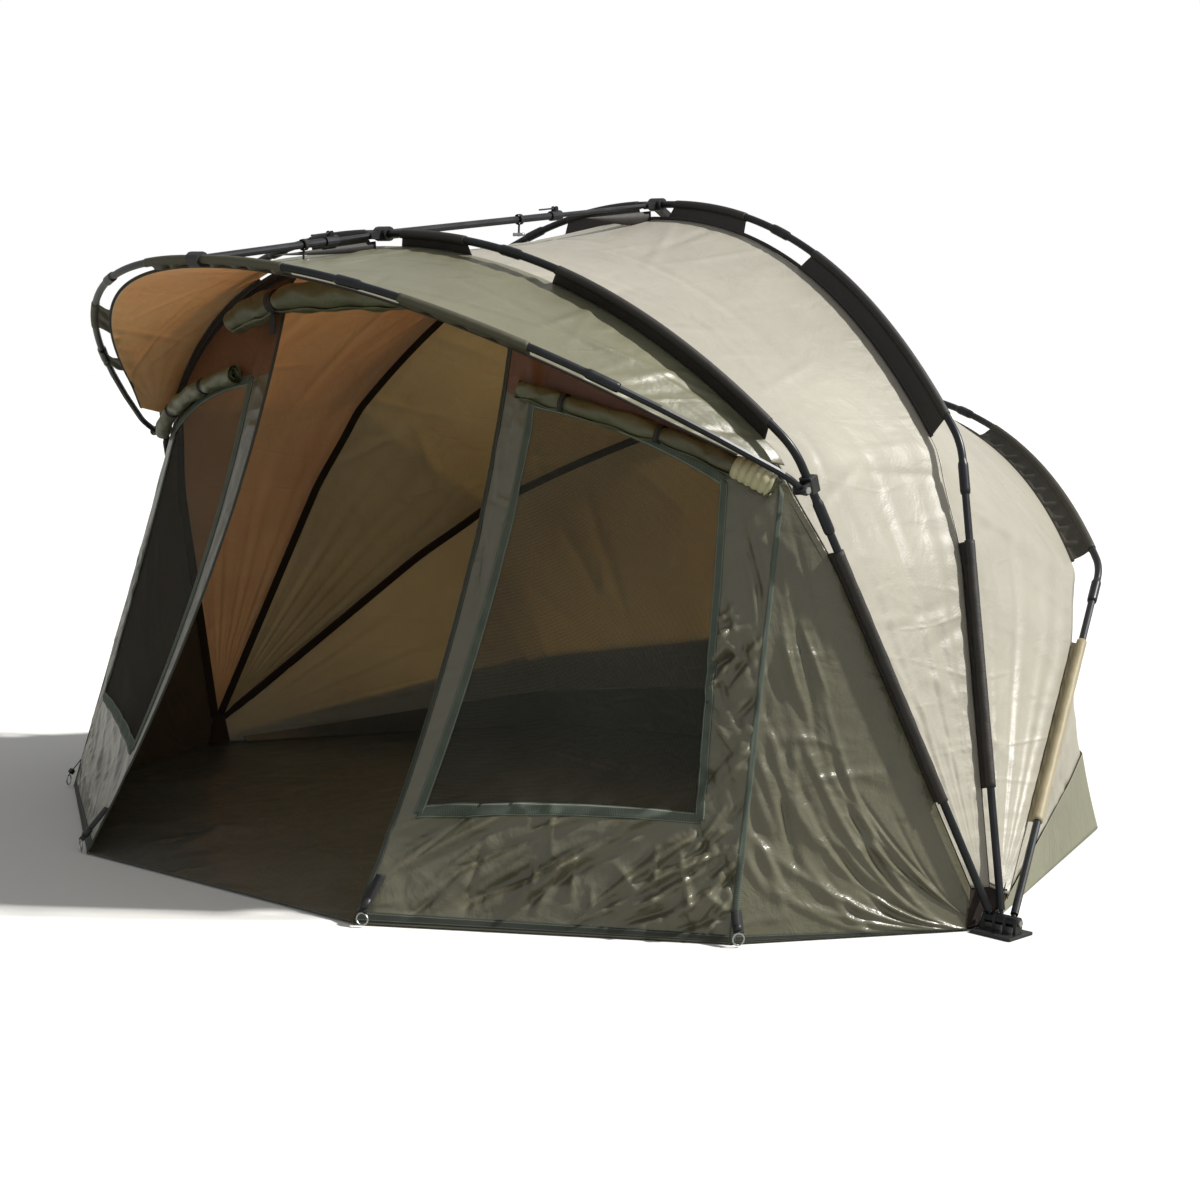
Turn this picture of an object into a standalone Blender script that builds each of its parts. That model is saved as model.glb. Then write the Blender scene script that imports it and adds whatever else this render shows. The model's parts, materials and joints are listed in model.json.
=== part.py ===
"""Two-person dome bivvy tent on three folding ribs, with a sprung-out hood.

Metres, +Z up. The front faces -Y and X runs from hub to hub. The origin lies on
the ground midway between the hubs. Each rib is drawn flat in its own plane, as
(x, rise from the hub axis), and the plane is then tilted about the hub axis.
"""

import math

import bmesh
import bpy
from mathutils import Matrix, Vector

# Plan and heights
HUB_HALF_SPAN = 1.525
HUB_AXIS_HEIGHT = 0.035
CORNER_X = 1.175
CORNER_Y = -0.655
CORNER_SKEW = 0.085
DOOR_FOOT_X = 0.470
DOOR_FOOT_Y = -1.155
DOOR_SKEW = 0.038
DOOR_SHIFT = 0.025
REAR_CORNER_X = 1.080
REAR_CORNER_Y = 1.190
REAR_SIDE_X = 0.500
REAR_SIDE_Y = 1.460
REAR_MIDDLE_Y = 1.500
HUB_CORNER_INSET = 0.067
HUB_CORNER_Y = 0.045

# Ribs: tilt back from upright, crown and elbow rise, elbow half width
FRONT_TILT = math.radians(-21.9)
FRONT_CROWN_RISE = 1.687
FRONT_ELBOW_RISE = 1.174
FRONT_ELBOW_X = 1.189
FRONT_LEAN = math.radians(42)
MID_TILT = math.radians(13.4)
MID_CROWN_RISE = 1.754
MID_ELBOW_RISE = 1.126
MID_ELBOW_X = 1.167
MID_LEAN = math.radians(40)
REAR_TILT = math.radians(50)
REAR_CROWN_RISE = 1.849
REAR_ELBOW_RISE = 1.174
REAR_ELBOW_X = 1.209
REAR_LEAN = math.radians(40)
HOOD_TILT = math.radians(-58.5)
HOOD_CROWN_RISE = 0.905
HOOD_LEAN = math.radians(30)
HOOD_ELBOW_RISE = 0.055

# Poles
POLE_RADIUS = 0.010
HOOD_POLE_RADIUS = 0.009
ELBOW_BEND = 0.045
HOOD_BEND = 0.030
CROWN_STRAIGHT_HALF = 0.035
FERRULE_WALL = 0.003
FERRULE_LENGTH = 0.080
FERRULE_STEP = 0.002
SPIGOT_LENGTH = 0.040
MID_FERRULE_LENGTH = 0.060
FRONT_FERRULE_X = 0.436
MID_FERRULE_X = 0.467
REAR_FERRULE_X = 0.450
HOOD_FERRULE_X = 0.454
FRONT_JOINT_RISE = 0.972
MID_JOINT_RISE = 1.000
REAR_JOINT_RISE = 1.045
HOOD_JOINT_RISE = 0.412

# Clearances
SEAT_GAP = 0.0004
COLLAR_GAP = 0.0009
SEAM_GAP = 0.0006
CUT_OVERRUN = 0.004

# Hub blocks
LUG_THICKNESS = 0.008
LUG_RADIUS = 0.014
HUB_BASE_OVERHANG = 0.008
HUB_BASE_WIDTH = 0.100
HUB_BASE_THICKNESS = 0.008
HUB_EDGE = 0.0015
HUB_PEG_HOLE_RADIUS = 0.005
HUB_PEG_HOLE_INSET = 0.013
EYE_RADIUS = 0.0135
NECK_RADIUS = 0.005
NECK_LENGTH = 0.022
BOLT_RADIUS = 0.004
BOLT_HEAD_RADIUS = 0.0085
BOLT_HEAD_THICKNESS = 0.005

# Knuckles that carry the hood
KNUCKLE_RISE = 1.091
KNUCKLE_OFFSET = 0.032
KNUCKLE_WIDTH = 0.034
KNUCKLE_HEIGHT = 0.040
KNUCKLE_DEPTH = 0.028
KNUCKLE_LUG_THICKNESS = 0.006
KNUCKLE_LUG_RADIUS = 0.0125
HOOD_EYE_RADIUS = 0.0115

# Cloth, webs and sleeves
CLOTH = 0.002
ARCH_SEAM_DEPTH = 0.066
CROWN_SEAM_DEPTH = 0.045
LEG_SEAM_DEPTH = 0.026
HOOD_JOIN_DEPTH = 0.046
HOOD_JOIN_CROWN_DEPTH = 0.032
HOOD_SEAM_DEPTH = 0.060
HOOD_CROWN_DEPTH = 0.031
HOOD_FOOT_DEPTH = 0.018
HOOD_SEAM_RAMP = 0.350
WEB_STRIP = 0.009
CUTOUT_SLOPE = 0.022
HOOD_WEB_STRIP = 0.006
CANOPY_SAG = 0.030
HOOD_SAG = 0.020
REAR_SAG = 0.030
FULL_SAG_SPAN = 1.000
SLEEVE_WALL = 0.0045
FRONT_SLEEVE_DROP = 0.045
MID_SLEEVE_DROP = 0.115
REAR_SLEEVE_DROP = 0.145
SLEEVE_FOOT_RISE = 0.300
FRONT_CUTOUT_INNER_X = 0.311
FRONT_CUTOUT_OUTER_X = 0.561
MID_CUTOUT_INNER_X = 0.355
MID_CUTOUT_OUTER_X = 0.579
REAR_CUTOUT_INNER_X = 0.330
REAR_CUTOUT_OUTER_X = 0.570
HOOD_CUTOUT_INNER_X = 0.330
HOOD_CUTOUT_OUTER_X = 0.557
HOOD_WEB_END_X = 0.823
CROWN_CUTOUT_HALF = 0.052
GROUNDSHEET_THICKNESS = 0.003
HEM_HEIGHT = 0.0042

# Front walls, windows and rolled covers
DOOR_HEAD_X = 0.415
DOOR_EDGE_BOW = 0.085
WINDOW_EDGE_GAP = 0.0010
NET_CLOTH = 0.001
WINDOW_ROLL_RADIUS = 0.027
DOOR_ROLL_RADIUS = 0.040
DOOR_ROLL_RIGHT_X = 0.225
DOOR_ROLL_LEFT_X = 0.540
DOOR_ROLL_DROP = 0.105
DOOR_ROLL_FORWARD = 0.042
DOOR_ROLL_LEFT_DROP = 0.062
DOOR_ROLL_LEFT_FORWARD = 0.124
DOOR_ROLL_LEFT_RUN = 0.330
DOOR_STRAP_X = 0.350
DOOR_STRAP_WIDTH = 0.030
DOOR_STRAP_THICKNESS = 0.002
ROLL_TIE_PINCH = 0.008
WING_FOLD_DEPTH = 0.022
FOOT_FOLD_DEPTH = 0.018
TAB_WIDTH = 0.025
TAB_LENGTH = 0.048
TAB_THICKNESS = 0.003
TAB_EYE_RADIUS = 0.0055
TAB_SINK = 0.010
RING_RADIUS = 0.014
RING_WIRE_RADIUS = 0.002
RING_FLOOR_GAP = 0.004

# Crown connectors and ridge bars
CONNECTOR_RADIUS = 0.0185
CONNECTOR_LENGTH = 0.044
CONNECTOR_REACH = 0.042
EAR_THICKNESS = 0.005
EAR_RADIUS = 0.010
PIN_RADIUS = 0.003
BAR_EYE_RADIUS = 0.0095
BAR_OUTER_RADIUS = 0.0095
BAR_INNER_RADIUS = 0.0065
SADDLE_WALL = 0.004
SADDLE_LENGTH = 0.034
SADDLE_START = 0.013
BAR_END_GAP = 0.004
HOOD_BAR_EXPOSED = 0.115
FRONT_BAR_EXPOSED = 0.360
REAR_BAR_EXPOSED = 0.360
BAR_OVERLAP = 0.120
COLLAR_RADIUS = 0.0135
COLLAR_LENGTH = 0.038
LEVER_PIN_RADIUS = 0.002
LEVER_EYE_RADIUS = 0.0045
LEVER_WIDTH = 0.009
LEVER_LENGTH = 0.058
LEVER_THICKNESS = 0.004
LEVER_EAR_THICKNESS = 0.003
LEVER_EAR_RADIUS = 0.006
LEVER_PIN_HEIGHT = 0.0195

# Counts
POLE_RESOLUTION = 2
ARCH_STEPS = 12
CORNER_STEPS = 4
SEAM_STEPS = 12
CANOPY_SPANS = 5
ROD_SIDES = 12
BOLT_SIDES = 6
RING_STEPS = 16
RING_SIDES = 6
ROLL_STEPS = 20
LUG_STEPS = 8
WING_FOLDS = 2
FOOT_FOLDS = 2

# Shares of the lengths that they follow
SEAM_START_SHARE = 0.032
HOOD_START_SHARE = 0.11
SEAM_RAMP_START_SHARE = 0.72
WING_STEP_SHARES = (0.0, 0.14, 0.28, 0.42, 0.56, 0.70, 0.85)
FOOT_STEP_SHARES = (0.33, 0.66, 1.0)
WINDOW_HEAD_RUN_SHARES = (0.21, 0.88)
WINDOW_FOOT_RUN_SHARES = (0.135, 0.93)
WINDOW_HEAD_DROP_SHARES = (0.125, 0.185)
WINDOW_FOOT_DROP_SHARES = (0.760, 0.835)
WINDOW_STEP_SHARES = (0.0, 0.25, 0.5, 0.75, 1.0)
HEAD_STEP_SHARES = (0.0, 0.5)
RIGHT_TIE_SHARES = (0.41, 0.79)
LEFT_TIE_SHARES = (0.26, 0.70)
DOOR_TIE_SHARES = (0.62,)
DOOR_ROLL_TAPER_SHARE = 0.55
NECK_SINK_SHARE = 0.1
REAR_CORNER_SHARE = 0.42
REAR_SIDE_SHARE = 0.72
DOOR_RING_INSET_SHARE = 0.03
WINDOW_ROLL_START_SHARE = 0.04
RIGHT_ROLL_END_SHARE = 0.92
LEFT_ROLL_END_SHARE = 0.81
WINDOW_ROLL_DROP_SHARES = (0.045, 0.175)

HUB_CORNER_X = HUB_HALF_SPAN - HUB_CORNER_INSET
LUG_SPACING = 2 * POLE_RADIUS + 2 * SEAT_GAP + LUG_THICKNESS
HUB_BASE_LENGTH = 3 * LUG_SPACING + LUG_THICKNESS + 2 * HUB_BASE_OVERHANG
BAR_EYE_WIDTH = 2 * BAR_INNER_RADIUS + SEAT_GAP

COLOURS = {
    "pole": ("151719", 0.35, 0.6),
    "moulding": ("1b1c1c", 0.5, 0.0),
    "steel": ("b9bbbc", 0.3, 1.0),
    "canopy": ("8d8468", 0.7, 0.0),
    "hood": ("8f8a5a", 0.7, 0.0),
    "wall": ("5c5747", 0.6, 0.0),
    "web": ("24211d", 0.85, 0.0),
    "net": ("2e2d29", 0.8, 0.0),
    "roll": ("77724f", 0.75, 0.0),
    "groundsheet": ("3a3728", 0.6, 0.0),
}


def start_scene():
    """Empty the scene and make the two collections."""
    for old in list(bpy.data.objects):
        bpy.data.objects.remove(old)
    made = []
    for name in ("bivvy_tent", "cutters"):
        group = bpy.data.collections.new(name)
        bpy.context.scene.collection.children.link(group)
        made.append(group)
    return made


PARTS, CUTTERS = start_scene()
MATERIALS = {}
BODIES = {}


def srgb_to_linear(value):
    """One sRGB channel, 0 to 1, as linear light."""
    if value <= 0.04045:
        return value / 12.92
    return ((value + 0.055) / 1.055) ** 2.4


def material(kind):
    """The Principled material of one finish, made once."""
    if kind in MATERIALS:
        return MATERIALS[kind]
    code, roughness, metallic = COLOURS[kind]
    channels = [srgb_to_linear(int(code[i:i + 2], 16) / 255) for i in (0, 2, 4)]
    made = bpy.data.materials.new(kind)
    made.use_nodes = True
    shader = made.node_tree.nodes["Principled BSDF"]
    shader.inputs["Base Color"].default_value = (*channels, 1.0)
    shader.inputs["Roughness"].default_value = roughness
    shader.inputs["Metallic"].default_value = metallic
    MATERIALS[kind] = made
    return made


def body(name, frame):
    """An empty on the joint axis of one moving body."""
    empty = bpy.data.objects.new(name, None)
    empty.matrix_basis = frame
    PARTS.objects.link(empty)
    BODIES[name] = (empty, frame)


def attach(obj, owner, frame):
    """Parent an object to its body and stand it at its frame."""
    empty, place = BODIES[owner]
    obj.parent = empty
    obj.matrix_parent_inverse = place.inverted()
    obj.matrix_basis = frame


def add_object(name, data, owner, frame, kind):
    """Link one sub-part."""
    obj = bpy.data.objects.new(name, data)
    PARTS.objects.link(obj)
    attach(obj, owner, frame)
    if data.materials:
        data.materials[0] = material(kind)
    else:
        data.materials.append(material(kind))
    return obj


def add_operand(name, data, owner, frame):
    """Link one hidden shape that a Boolean uses."""
    obj = bpy.data.objects.new(name, data)
    CUTTERS.objects.link(obj)
    attach(obj, owner, frame)
    obj.hide_render = True
    obj.display_type = "WIRE"
    return obj


def combine(target, data, operation, owner, frame):
    """Give an object a Boolean with a hidden shape in the same frame."""
    count = len(target.modifiers)
    operand = add_operand(f"{target.name}_{operation.lower()}_{count}", data, owner, frame)
    boolean = target.modifiers.new(operand.name, "BOOLEAN")
    boolean.operation = operation
    boolean.solver = "EXACT"
    boolean.object = operand


def solid(name, owner, frame, kind, base, add=(), cut=()):
    """A base shape with others joined on and then others cut away."""
    obj = add_object(name, base, owner, frame, kind)
    for data in add:
        combine(obj, data, "UNION", owner, frame)
    for data in cut:
        combine(obj, data, "DIFFERENCE", owner, frame)
    return obj


def mesh_of(bm, name):
    """Turn a bmesh into a mesh, smooth with sharp edges kept."""
    data = bpy.data.meshes.new(name)
    bm.to_mesh(data)
    bm.free()
    data.shade_smooth()
    data.set_sharp_from_angle(angle=math.radians(35))
    return data


def block(size, centre, edge=0.0):
    """A box with its edges rounded over."""
    bm = bmesh.new()
    bmesh.ops.create_cube(bm, size=1.0)
    bmesh.ops.scale(bm, vec=size, verts=bm.verts)
    if edge:
        bmesh.ops.bevel(bm, geom=bm.edges[:], offset=edge, segments=2, affect="EDGES", profile=0.5)
    bmesh.ops.translate(bm, vec=centre, verts=bm.verts)
    return mesh_of(bm, "block")


def rod(radius, start, end, sides=ROD_SIDES):
    """A capped cylinder between two points."""
    start = Vector(start)
    end = Vector(end)
    run = end - start
    bm = bmesh.new()
    bmesh.ops.create_cone(
        bm, cap_ends=True, segments=sides, radius1=radius, radius2=radius, depth=run.length
    )
    turn = Vector((0, 0, 1)).rotation_difference(run).to_matrix().to_4x4()
    bmesh.ops.transform(bm, matrix=Matrix.Translation((start + end) / 2) @ turn, verts=bm.verts)
    return mesh_of(bm, "rod")


def extruded(outline, low, high):
    """A solid between x = low and x = high with an outline given as (y, z)."""
    bm = bmesh.new()
    near = [bm.verts.new((low, y, z)) for y, z in outline]
    far = [bm.verts.new((high, y, z)) for y, z in outline]
    bm.faces.new(near)
    bm.faces.new(far[::-1])
    for index in range(len(outline)):
        after = (index + 1) % len(outline)
        bm.faces.new((near[after], near[index], far[index], far[after]))
    bmesh.ops.recalc_face_normals(bm, faces=bm.faces[:])
    return mesh_of(bm, "extruded")


def lug(low, high, radius, start, end):
    """A plate between x = low and x = high, from start to a round end, both given as (y, z)."""
    start = Vector(start)
    end = Vector(end)
    along = (end - start).normalized()
    across = Vector((-along.y, along.x))
    outline = [start + across * radius, start - across * radius]
    for step in range(LUG_STEPS + 1):
        angle = math.pi * step / LUG_STEPS
        outline.append(end - across * radius * math.cos(angle) + along * radius * math.sin(angle))
    return extruded(outline, low, high)


def curve_pole(name, owner, frame, kind, points, radius, scales=None):
    """A round pole along points, as a curve with filled caps."""
    data = bpy.data.curves.new(name, "CURVE")
    data.dimensions = "3D"
    data.bevel_depth = radius
    data.bevel_resolution = POLE_RESOLUTION
    data.use_fill_caps = True
    spline = data.splines.new("POLY")
    spline.points.add(len(points) - 1)
    for index, point in enumerate(points):
        spline.points[index].co = (*point, 1.0)
        spline.points[index].radius = scales[index] if scales else 1.0
    return add_object(name, data, owner, frame, kind)


def as_mesh(obj, owner, frame, kind):
    """Swap a curve object for its welded mesh, so that it can be cut."""
    name = obj.name
    view = bpy.context.evaluated_depsgraph_get()
    data = bpy.data.meshes.new_from_object(obj.evaluated_get(view))
    bm = bmesh.new()
    bm.from_mesh(data)
    bmesh.ops.remove_doubles(bm, verts=bm.verts, dist=POLE_RADIUS / 1000)
    bm.to_mesh(data)
    bm.free()
    bpy.data.objects.remove(obj)
    data.name = name
    return add_object(name, data, owner, frame, kind)


def flat_plate(name, owner, frame, kind, outline, thickness):
    """A flat outline in the frame's XY plane, thickened both ways."""
    data = bpy.data.curves.new(name, "CURVE")
    data.dimensions = "2D"
    data.fill_mode = "BOTH"
    data.extrude = thickness / 2
    spline = data.splines.new("POLY")
    spline.points.add(len(outline) - 1)
    for index, point in enumerate(outline):
        spline.points[index].co = (point[0], point[1], 0.0, 1.0)
    spline.use_cyclic_u = True
    return add_object(name, data, owner, frame, kind)


def turned_ring(name, owner, frame, kind, inner, outer, length):
    """A sleeve about the frame's Z axis: a closed profile with a Screw."""
    bm = bmesh.new()
    corners = ((outer, length), (outer, 0.0), (inner, 0.0), (inner, length))
    verts = [bm.verts.new((x, 0.0, z)) for x, z in corners]
    for index, vert in enumerate(verts):
        bm.edges.new((vert, verts[(index + 1) % len(verts)]))
    data = bpy.data.meshes.new(name)
    bm.to_mesh(data)
    bm.free()
    obj = add_object(name, data, owner, frame, kind)
    screw = obj.modifiers.new("turn", "SCREW")
    screw.steps = ROD_SIDES
    screw.render_steps = ROD_SIDES
    screw.use_merge_vertices = True
    screw.merge_threshold = POLE_RADIUS / 1000
    screw.use_smooth_shade = True
    return obj


def cloth_sheet(name, owner, kind, rows, thickness=CLOTH, holes=()):
    """A sheet through rows of world points, given its thickness by Solidify."""
    columns = len(rows[0])
    bm = bmesh.new()
    verts = [[bm.verts.new(point) for point in row] for row in rows]
    for i in range(len(rows) - 1):
        for j in range(columns - 1):
            if (i, j) not in holes:
                corners = (verts[i][j], verts[i][j + 1], verts[i + 1][j + 1], verts[i + 1][j])
                bm.faces.new(corners)
    loose = [vert for vert in bm.verts if not vert.link_faces]
    bmesh.ops.delete(bm, geom=loose, context="VERTS")
    obj = add_object(name, mesh_of(bm, name), owner, Matrix.Identity(4), kind)
    shell = obj.modifiers.new("thickness", "SOLIDIFY")
    shell.thickness = thickness
    shell.offset = 0.0
    return obj


def lerp(a, b, share):
    """The point at a share of the way from a to b."""
    return a + (b - a) * share


def bezier(a, b, c, share):
    """A point on the quadratic curve from a to c with its corner at b."""
    return lerp(lerp(a, b, share), lerp(b, c, share), share)


def smooth_step(value):
    """A smooth rise from 0 to 1."""
    value = min(max(value, 0.0), 1.0)
    return value * value * (3 - 2 * value)


def arc_lengths(points):
    """Running length along a polyline."""
    total = [0.0]
    for a, b in zip(points, points[1:]):
        total.append(total[-1] + (b - a).length)
    return total


def at_length(points, lengths, wanted):
    """The point of a polyline at a running length."""
    for index in range(1, len(points)):
        if wanted <= lengths[index] or index == len(points) - 1:
            run = lengths[index] - lengths[index - 1]
            return lerp(points[index - 1], points[index], (wanted - lengths[index - 1]) / run)
    return points[-1]


def resample(points, shares):
    """Points at shares of a polyline's length."""
    lengths = arc_lengths(points)
    return [at_length(points, lengths, share * lengths[-1]) for share in shares]


def offset_inward(points, depths):
    """Move each point of a half outline to its inner side."""
    moved = []
    for index, point in enumerate(points):
        before = points[max(index - 1, 0)]
        after = points[min(index + 1, len(points) - 1)]
        along = (after - before).normalized()
        moved.append(point + Vector((-along.y, along.x)) * depths[index])
    return moved


def mirrored(points):
    """A whole outline from its right half, which ends on the centre line."""
    other = [Vector((-point.x, *point[1:])) for point in reversed(points[:-1])]
    return points + other


class Rib:
    """One rib, drawn as (x, rise) in a plane that is tilted about an axis along X."""

    def __init__(self, axis_y, axis_z, tilt, foot_x, elbow, crown, lean, bend=ELBOW_BEND):
        self.bend = bend
        self.foot = Vector((foot_x, 0.0))
        self.elbow = Vector(elbow)
        self.crown = Vector((0.0, crown))
        self.crown_edge = Vector((CROWN_STRAIGHT_HALF, crown))
        self.shoulder = Vector((elbow[0] - (crown - elbow[1]) * math.tan(lean), crown))
        self.frame = Matrix.Translation((0.0, axis_y, axis_z)) @ Matrix.Rotation(
            math.pi / 2 - tilt, 4, "X"
        )

    def arch(self, share):
        """A point on the arch from the elbow to the straight piece at the crown."""
        return bezier(self.elbow, self.shoulder, self.crown_edge, share)

    def half_outline(self):
        """Foot, straight leg, bent elbow and arch, up to the crown."""
        start = (self.shoulder - self.elbow).length
        entry = self.bend / (2 * start)
        points = [self.foot]
        leg = (self.elbow - self.foot).normalized()
        bend_start = self.elbow - leg * self.bend
        bend_end = self.arch(entry)
        for step in range(CORNER_STEPS):
            points.append(bezier(bend_start, self.elbow, bend_end, step / CORNER_STEPS))
        for step in range(ARCH_STEPS + 1):
            share = entry + (1 - entry) * step / ARCH_STEPS
            points.append(self.arch(share))
        points.append(self.crown)
        return points

    def at_rise(self, rise):
        """The pole's centre at a rise, on the right-hand side."""
        points = self.half_outline()
        for a, b in zip(points, points[1:]):
            if a.y <= rise <= b.y:
                return lerp(a, b, (rise - a.y) / (b.y - a.y))
        return points[-1]

    def seam(self, arch_depth, leg_depth, crown_depth, ramp_start, ramp):
        """The half outline moved in from the pole, closer to it on the legs and at the crown."""
        fine = resample(self.half_outline(), [i / (4 * SEAM_STEPS) for i in range(4 * SEAM_STEPS + 1)])
        depths = []
        for point in fine:
            rise = smooth_step((point.y - ramp_start) / ramp)
            depth = lerp(crown_depth, arch_depth, min(point.x / self.elbow.x, 1.0))
            depths.append(lerp(leg_depth, depth, rise))
        return offset_inward(fine, depths)

    def place(self, point, normal=0.0):
        """A point of the rib's plane in the world, moved forward by normal."""
        return self.frame @ Vector((point.x, point.y, normal))


def hub_rib(tilt, lane, elbow, crown, lean):
    """A rib that turns in one of the three lanes of the hubs."""
    foot_x = HUB_HALF_SPAN + lane * LUG_SPACING
    return Rib(0.0, HUB_AXIS_HEIGHT, tilt, foot_x, elbow, crown, lean)


FRONT = hub_rib(FRONT_TILT, -1, (FRONT_ELBOW_X, FRONT_ELBOW_RISE), FRONT_CROWN_RISE, FRONT_LEAN)
MID = hub_rib(MID_TILT, 0, (MID_ELBOW_X, MID_ELBOW_RISE), MID_CROWN_RISE, MID_LEAN)
REAR = hub_rib(REAR_TILT, 1, (REAR_ELBOW_X, REAR_ELBOW_RISE), REAR_CROWN_RISE, REAR_LEAN)
KNUCKLE = FRONT.at_rise(KNUCKLE_RISE)
HOOD_AXIS = FRONT.place(Vector((0.0, KNUCKLE_RISE)), KNUCKLE_OFFSET)
HOOD = Rib(
    HOOD_AXIS.y, HOOD_AXIS.z, HOOD_TILT, KNUCKLE.x, (KNUCKLE.x, HOOD_ELBOW_RISE),
    HOOD_CROWN_RISE, HOOD_LEAN, HOOD_BEND,
)


def pole_points(points):
    """Flat points as curve points."""
    return [(point.x, point.y, 0.0) for point in points]


def make_leg(name, owner, rib, side, joint_rise):
    """A straight leg with its hub eye, up into the arch's ferrule."""
    top = rib.at_rise(joint_rise)
    along = (rib.elbow - rib.foot).normalized()
    end = top + along * (SPIGOT_LENGTH - SEAT_GAP)
    foot = (side * rib.foot.x, 0.0, 0.0)
    half = Vector((POLE_RADIUS, 0.0, 0.0))
    start = rib.foot + along * NECK_LENGTH
    start = (side * start.x, start.y, 0.0)
    neck = rod(NECK_RADIUS, foot, lerp(Vector(start), Vector((side * end.x, end.y, 0.0)), NECK_SINK_SHARE))
    shaft = rod(POLE_RADIUS - SEAT_GAP, start, (side * end.x, end.y, 0.0))
    eye = rod(EYE_RADIUS, Vector(foot) - half, Vector(foot) + half)
    hole = Vector((POLE_RADIUS + CUT_OVERRUN, 0.0, 0.0))
    bore = rod(BOLT_RADIUS + SEAT_GAP, Vector(foot) - hole, Vector(foot) + hole)
    return solid(name, owner, rib.frame, "pole", eye, add=(neck, shaft), cut=(bore,))


def arch_profile(rib, joint_rise, radius, ferrule_x):
    """Half an arch's points from its lower ferrule, with the radius scale at each."""
    outline = rib.half_outline()
    start = rib.at_rise(joint_rise)
    path = [start] + [point for point in outline if point.y > joint_rise]
    lengths = arc_lengths(path)
    wide = (radius + FERRULE_WALL) / radius
    centre = 0.0
    for index in range(1, len(path)):
        a, b = path[index - 1], path[index]
        if b.x <= ferrule_x < a.x:
            centre = lengths[index - 1] + (a - b).length * (a.x - ferrule_x) / (a.x - b.x)
    marks = [(length, 1.0) for length in lengths]
    half = MID_FERRULE_LENGTH / 2
    bands = ((0.0, FERRULE_LENGTH), (centre - half, centre + half))
    for low, high in bands:
        marks = [mark for mark in marks if mark[0] < low or mark[0] > high]
        if low > 0.0:
            marks.append((low, 1.0))
            low += FERRULE_STEP
        marks += [(low, wide), (high - FERRULE_STEP, wide), (high, 1.0)]
    marks.sort()
    points = [at_length(path, lengths, mark[0]) for mark in marks]
    return points, [mark[1] for mark in marks]


def make_arch(name, owner, rib, joint_rise, radius, ferrule_x):
    """The bent pole from elbow to elbow, with ferrules that take the legs."""
    points, scales = arch_profile(rib, joint_rise, radius, ferrule_x)
    whole = mirrored(points)
    whole_scales = scales + scales[-2::-1]
    pole = curve_pole(name, owner, rib.frame, "pole", pole_points(whole), radius, whole_scales)
    pole = as_mesh(pole, owner, rib.frame, "pole")
    bottom = points[0]
    along = (points[1] - points[0]).normalized()
    low = bottom - along * CUT_OVERRUN
    high = bottom + along * SPIGOT_LENGTH
    for side in (1, -1):
        start = (side * low.x, low.y, 0.0)
        end = (side * high.x, high.y, 0.0)
        combine(pole, rod(radius, start, end), "DIFFERENCE", owner, rib.frame)
    return pole


def cutout(x, inner, outer):
    """How far the web is cut away at x, from 0 to 1, between two sloping ends."""
    return min(max(min(x - inner, outer - x) / CUTOUT_SLOPE, 0.0), 1.0)


def with_stops(outline, stops):
    """The outline with extra points where it crosses each x of a cut-out's corners."""
    points = [outline[0]]
    for a, b in zip(outline, outline[1:]):
        crossed = [x for x in stops if b.x + SEAT_GAP < x < a.x - SEAT_GAP]
        for x in sorted(crossed, reverse=True):
            points.append(lerp(a, b, (a.x - x) / (a.x - b.x)))
        points.append(b)
    return points


def make_web(name, owner, rib, kind, depths, strip, inner_x, outer_x, end_x, radius):
    """The flat cloth web between pole and canopy, cut away round the ferrules and the crown."""
    arch_depth, crown_depth = depths
    stops = [end_x, end_x - CUTOUT_SLOPE, CROWN_CUTOUT_HALF, CROWN_CUTOUT_HALF - CUTOUT_SLOPE]
    stops += [outer_x, outer_x - CUTOUT_SLOPE, inner_x + CUTOUT_SLOPE, inner_x]
    outline = [point for point in with_stops(rib.half_outline(), stops) if point.x <= end_x + SEAT_GAP]
    top = radius + SEAT_GAP
    seam_depths = []
    top_depths = []
    for point in outline:
        depth = lerp(crown_depth, arch_depth, min(point.x / rib.elbow.x, 1.0))
        away = cutout(point.x, inner_x, outer_x)
        away = max(away, cutout(point.x, -CROWN_CUTOUT_HALF, CROWN_CUTOUT_HALF))
        away = max(away, min(max(1 - (end_x - point.x) / CUTOUT_SLOPE, 0.0), 1.0))
        seam_depths.append(depth)
        top_depths.append(lerp(top, depth - strip, away))
    outer = mirrored(offset_inward(outline, top_depths))
    inner = mirrored(offset_inward(outline, seam_depths))
    return flat_plate(name, owner, rib.frame, kind, outer + inner[::-1], CLOTH)


def make_sleeve(name, owner, rib, side, top_rise):
    """The cloth sleeve round a leg, up to its top below the ferrule."""
    low = rib.at_rise(SLEEVE_FOOT_RISE)
    high = rib.at_rise(top_rise)
    start = Vector((side * low.x, low.y, 0.0))
    run = Vector((side * high.x, high.y, 0.0)) - start
    turn = Vector((0, 0, 1)).rotation_difference(run).to_matrix().to_4x4()
    frame = rib.frame @ Matrix.Translation(start) @ turn
    inner = POLE_RADIUS + SEAT_GAP
    sleeve = turned_ring(name, owner, frame, "web", inner, inner + SLEEVE_WALL, run.length)
    inward = frame.to_3x3().inverted() @ rib.frame.to_3x3() @ Vector((-side * run.y, side * run.x, 0.0))
    inward.normalize()
    start = inner + SLEEVE_WALL / 2
    reach = LEG_SEAM_DEPTH - start
    fin = block((reach, CLOTH, run.length), (start + reach / 2, 0.0, run.length / 2))
    fin.transform(Matrix.Rotation(math.atan2(inward.y, inward.x), 4, "Z"))
    combine(sleeve, fin, "UNION", owner, frame)
    return sleeve


def seam_shares(start):
    """Even shares from a start to the crown."""
    return [start + (1 - start) * i / SEAM_STEPS for i in range(SEAM_STEPS + 1)]


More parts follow.
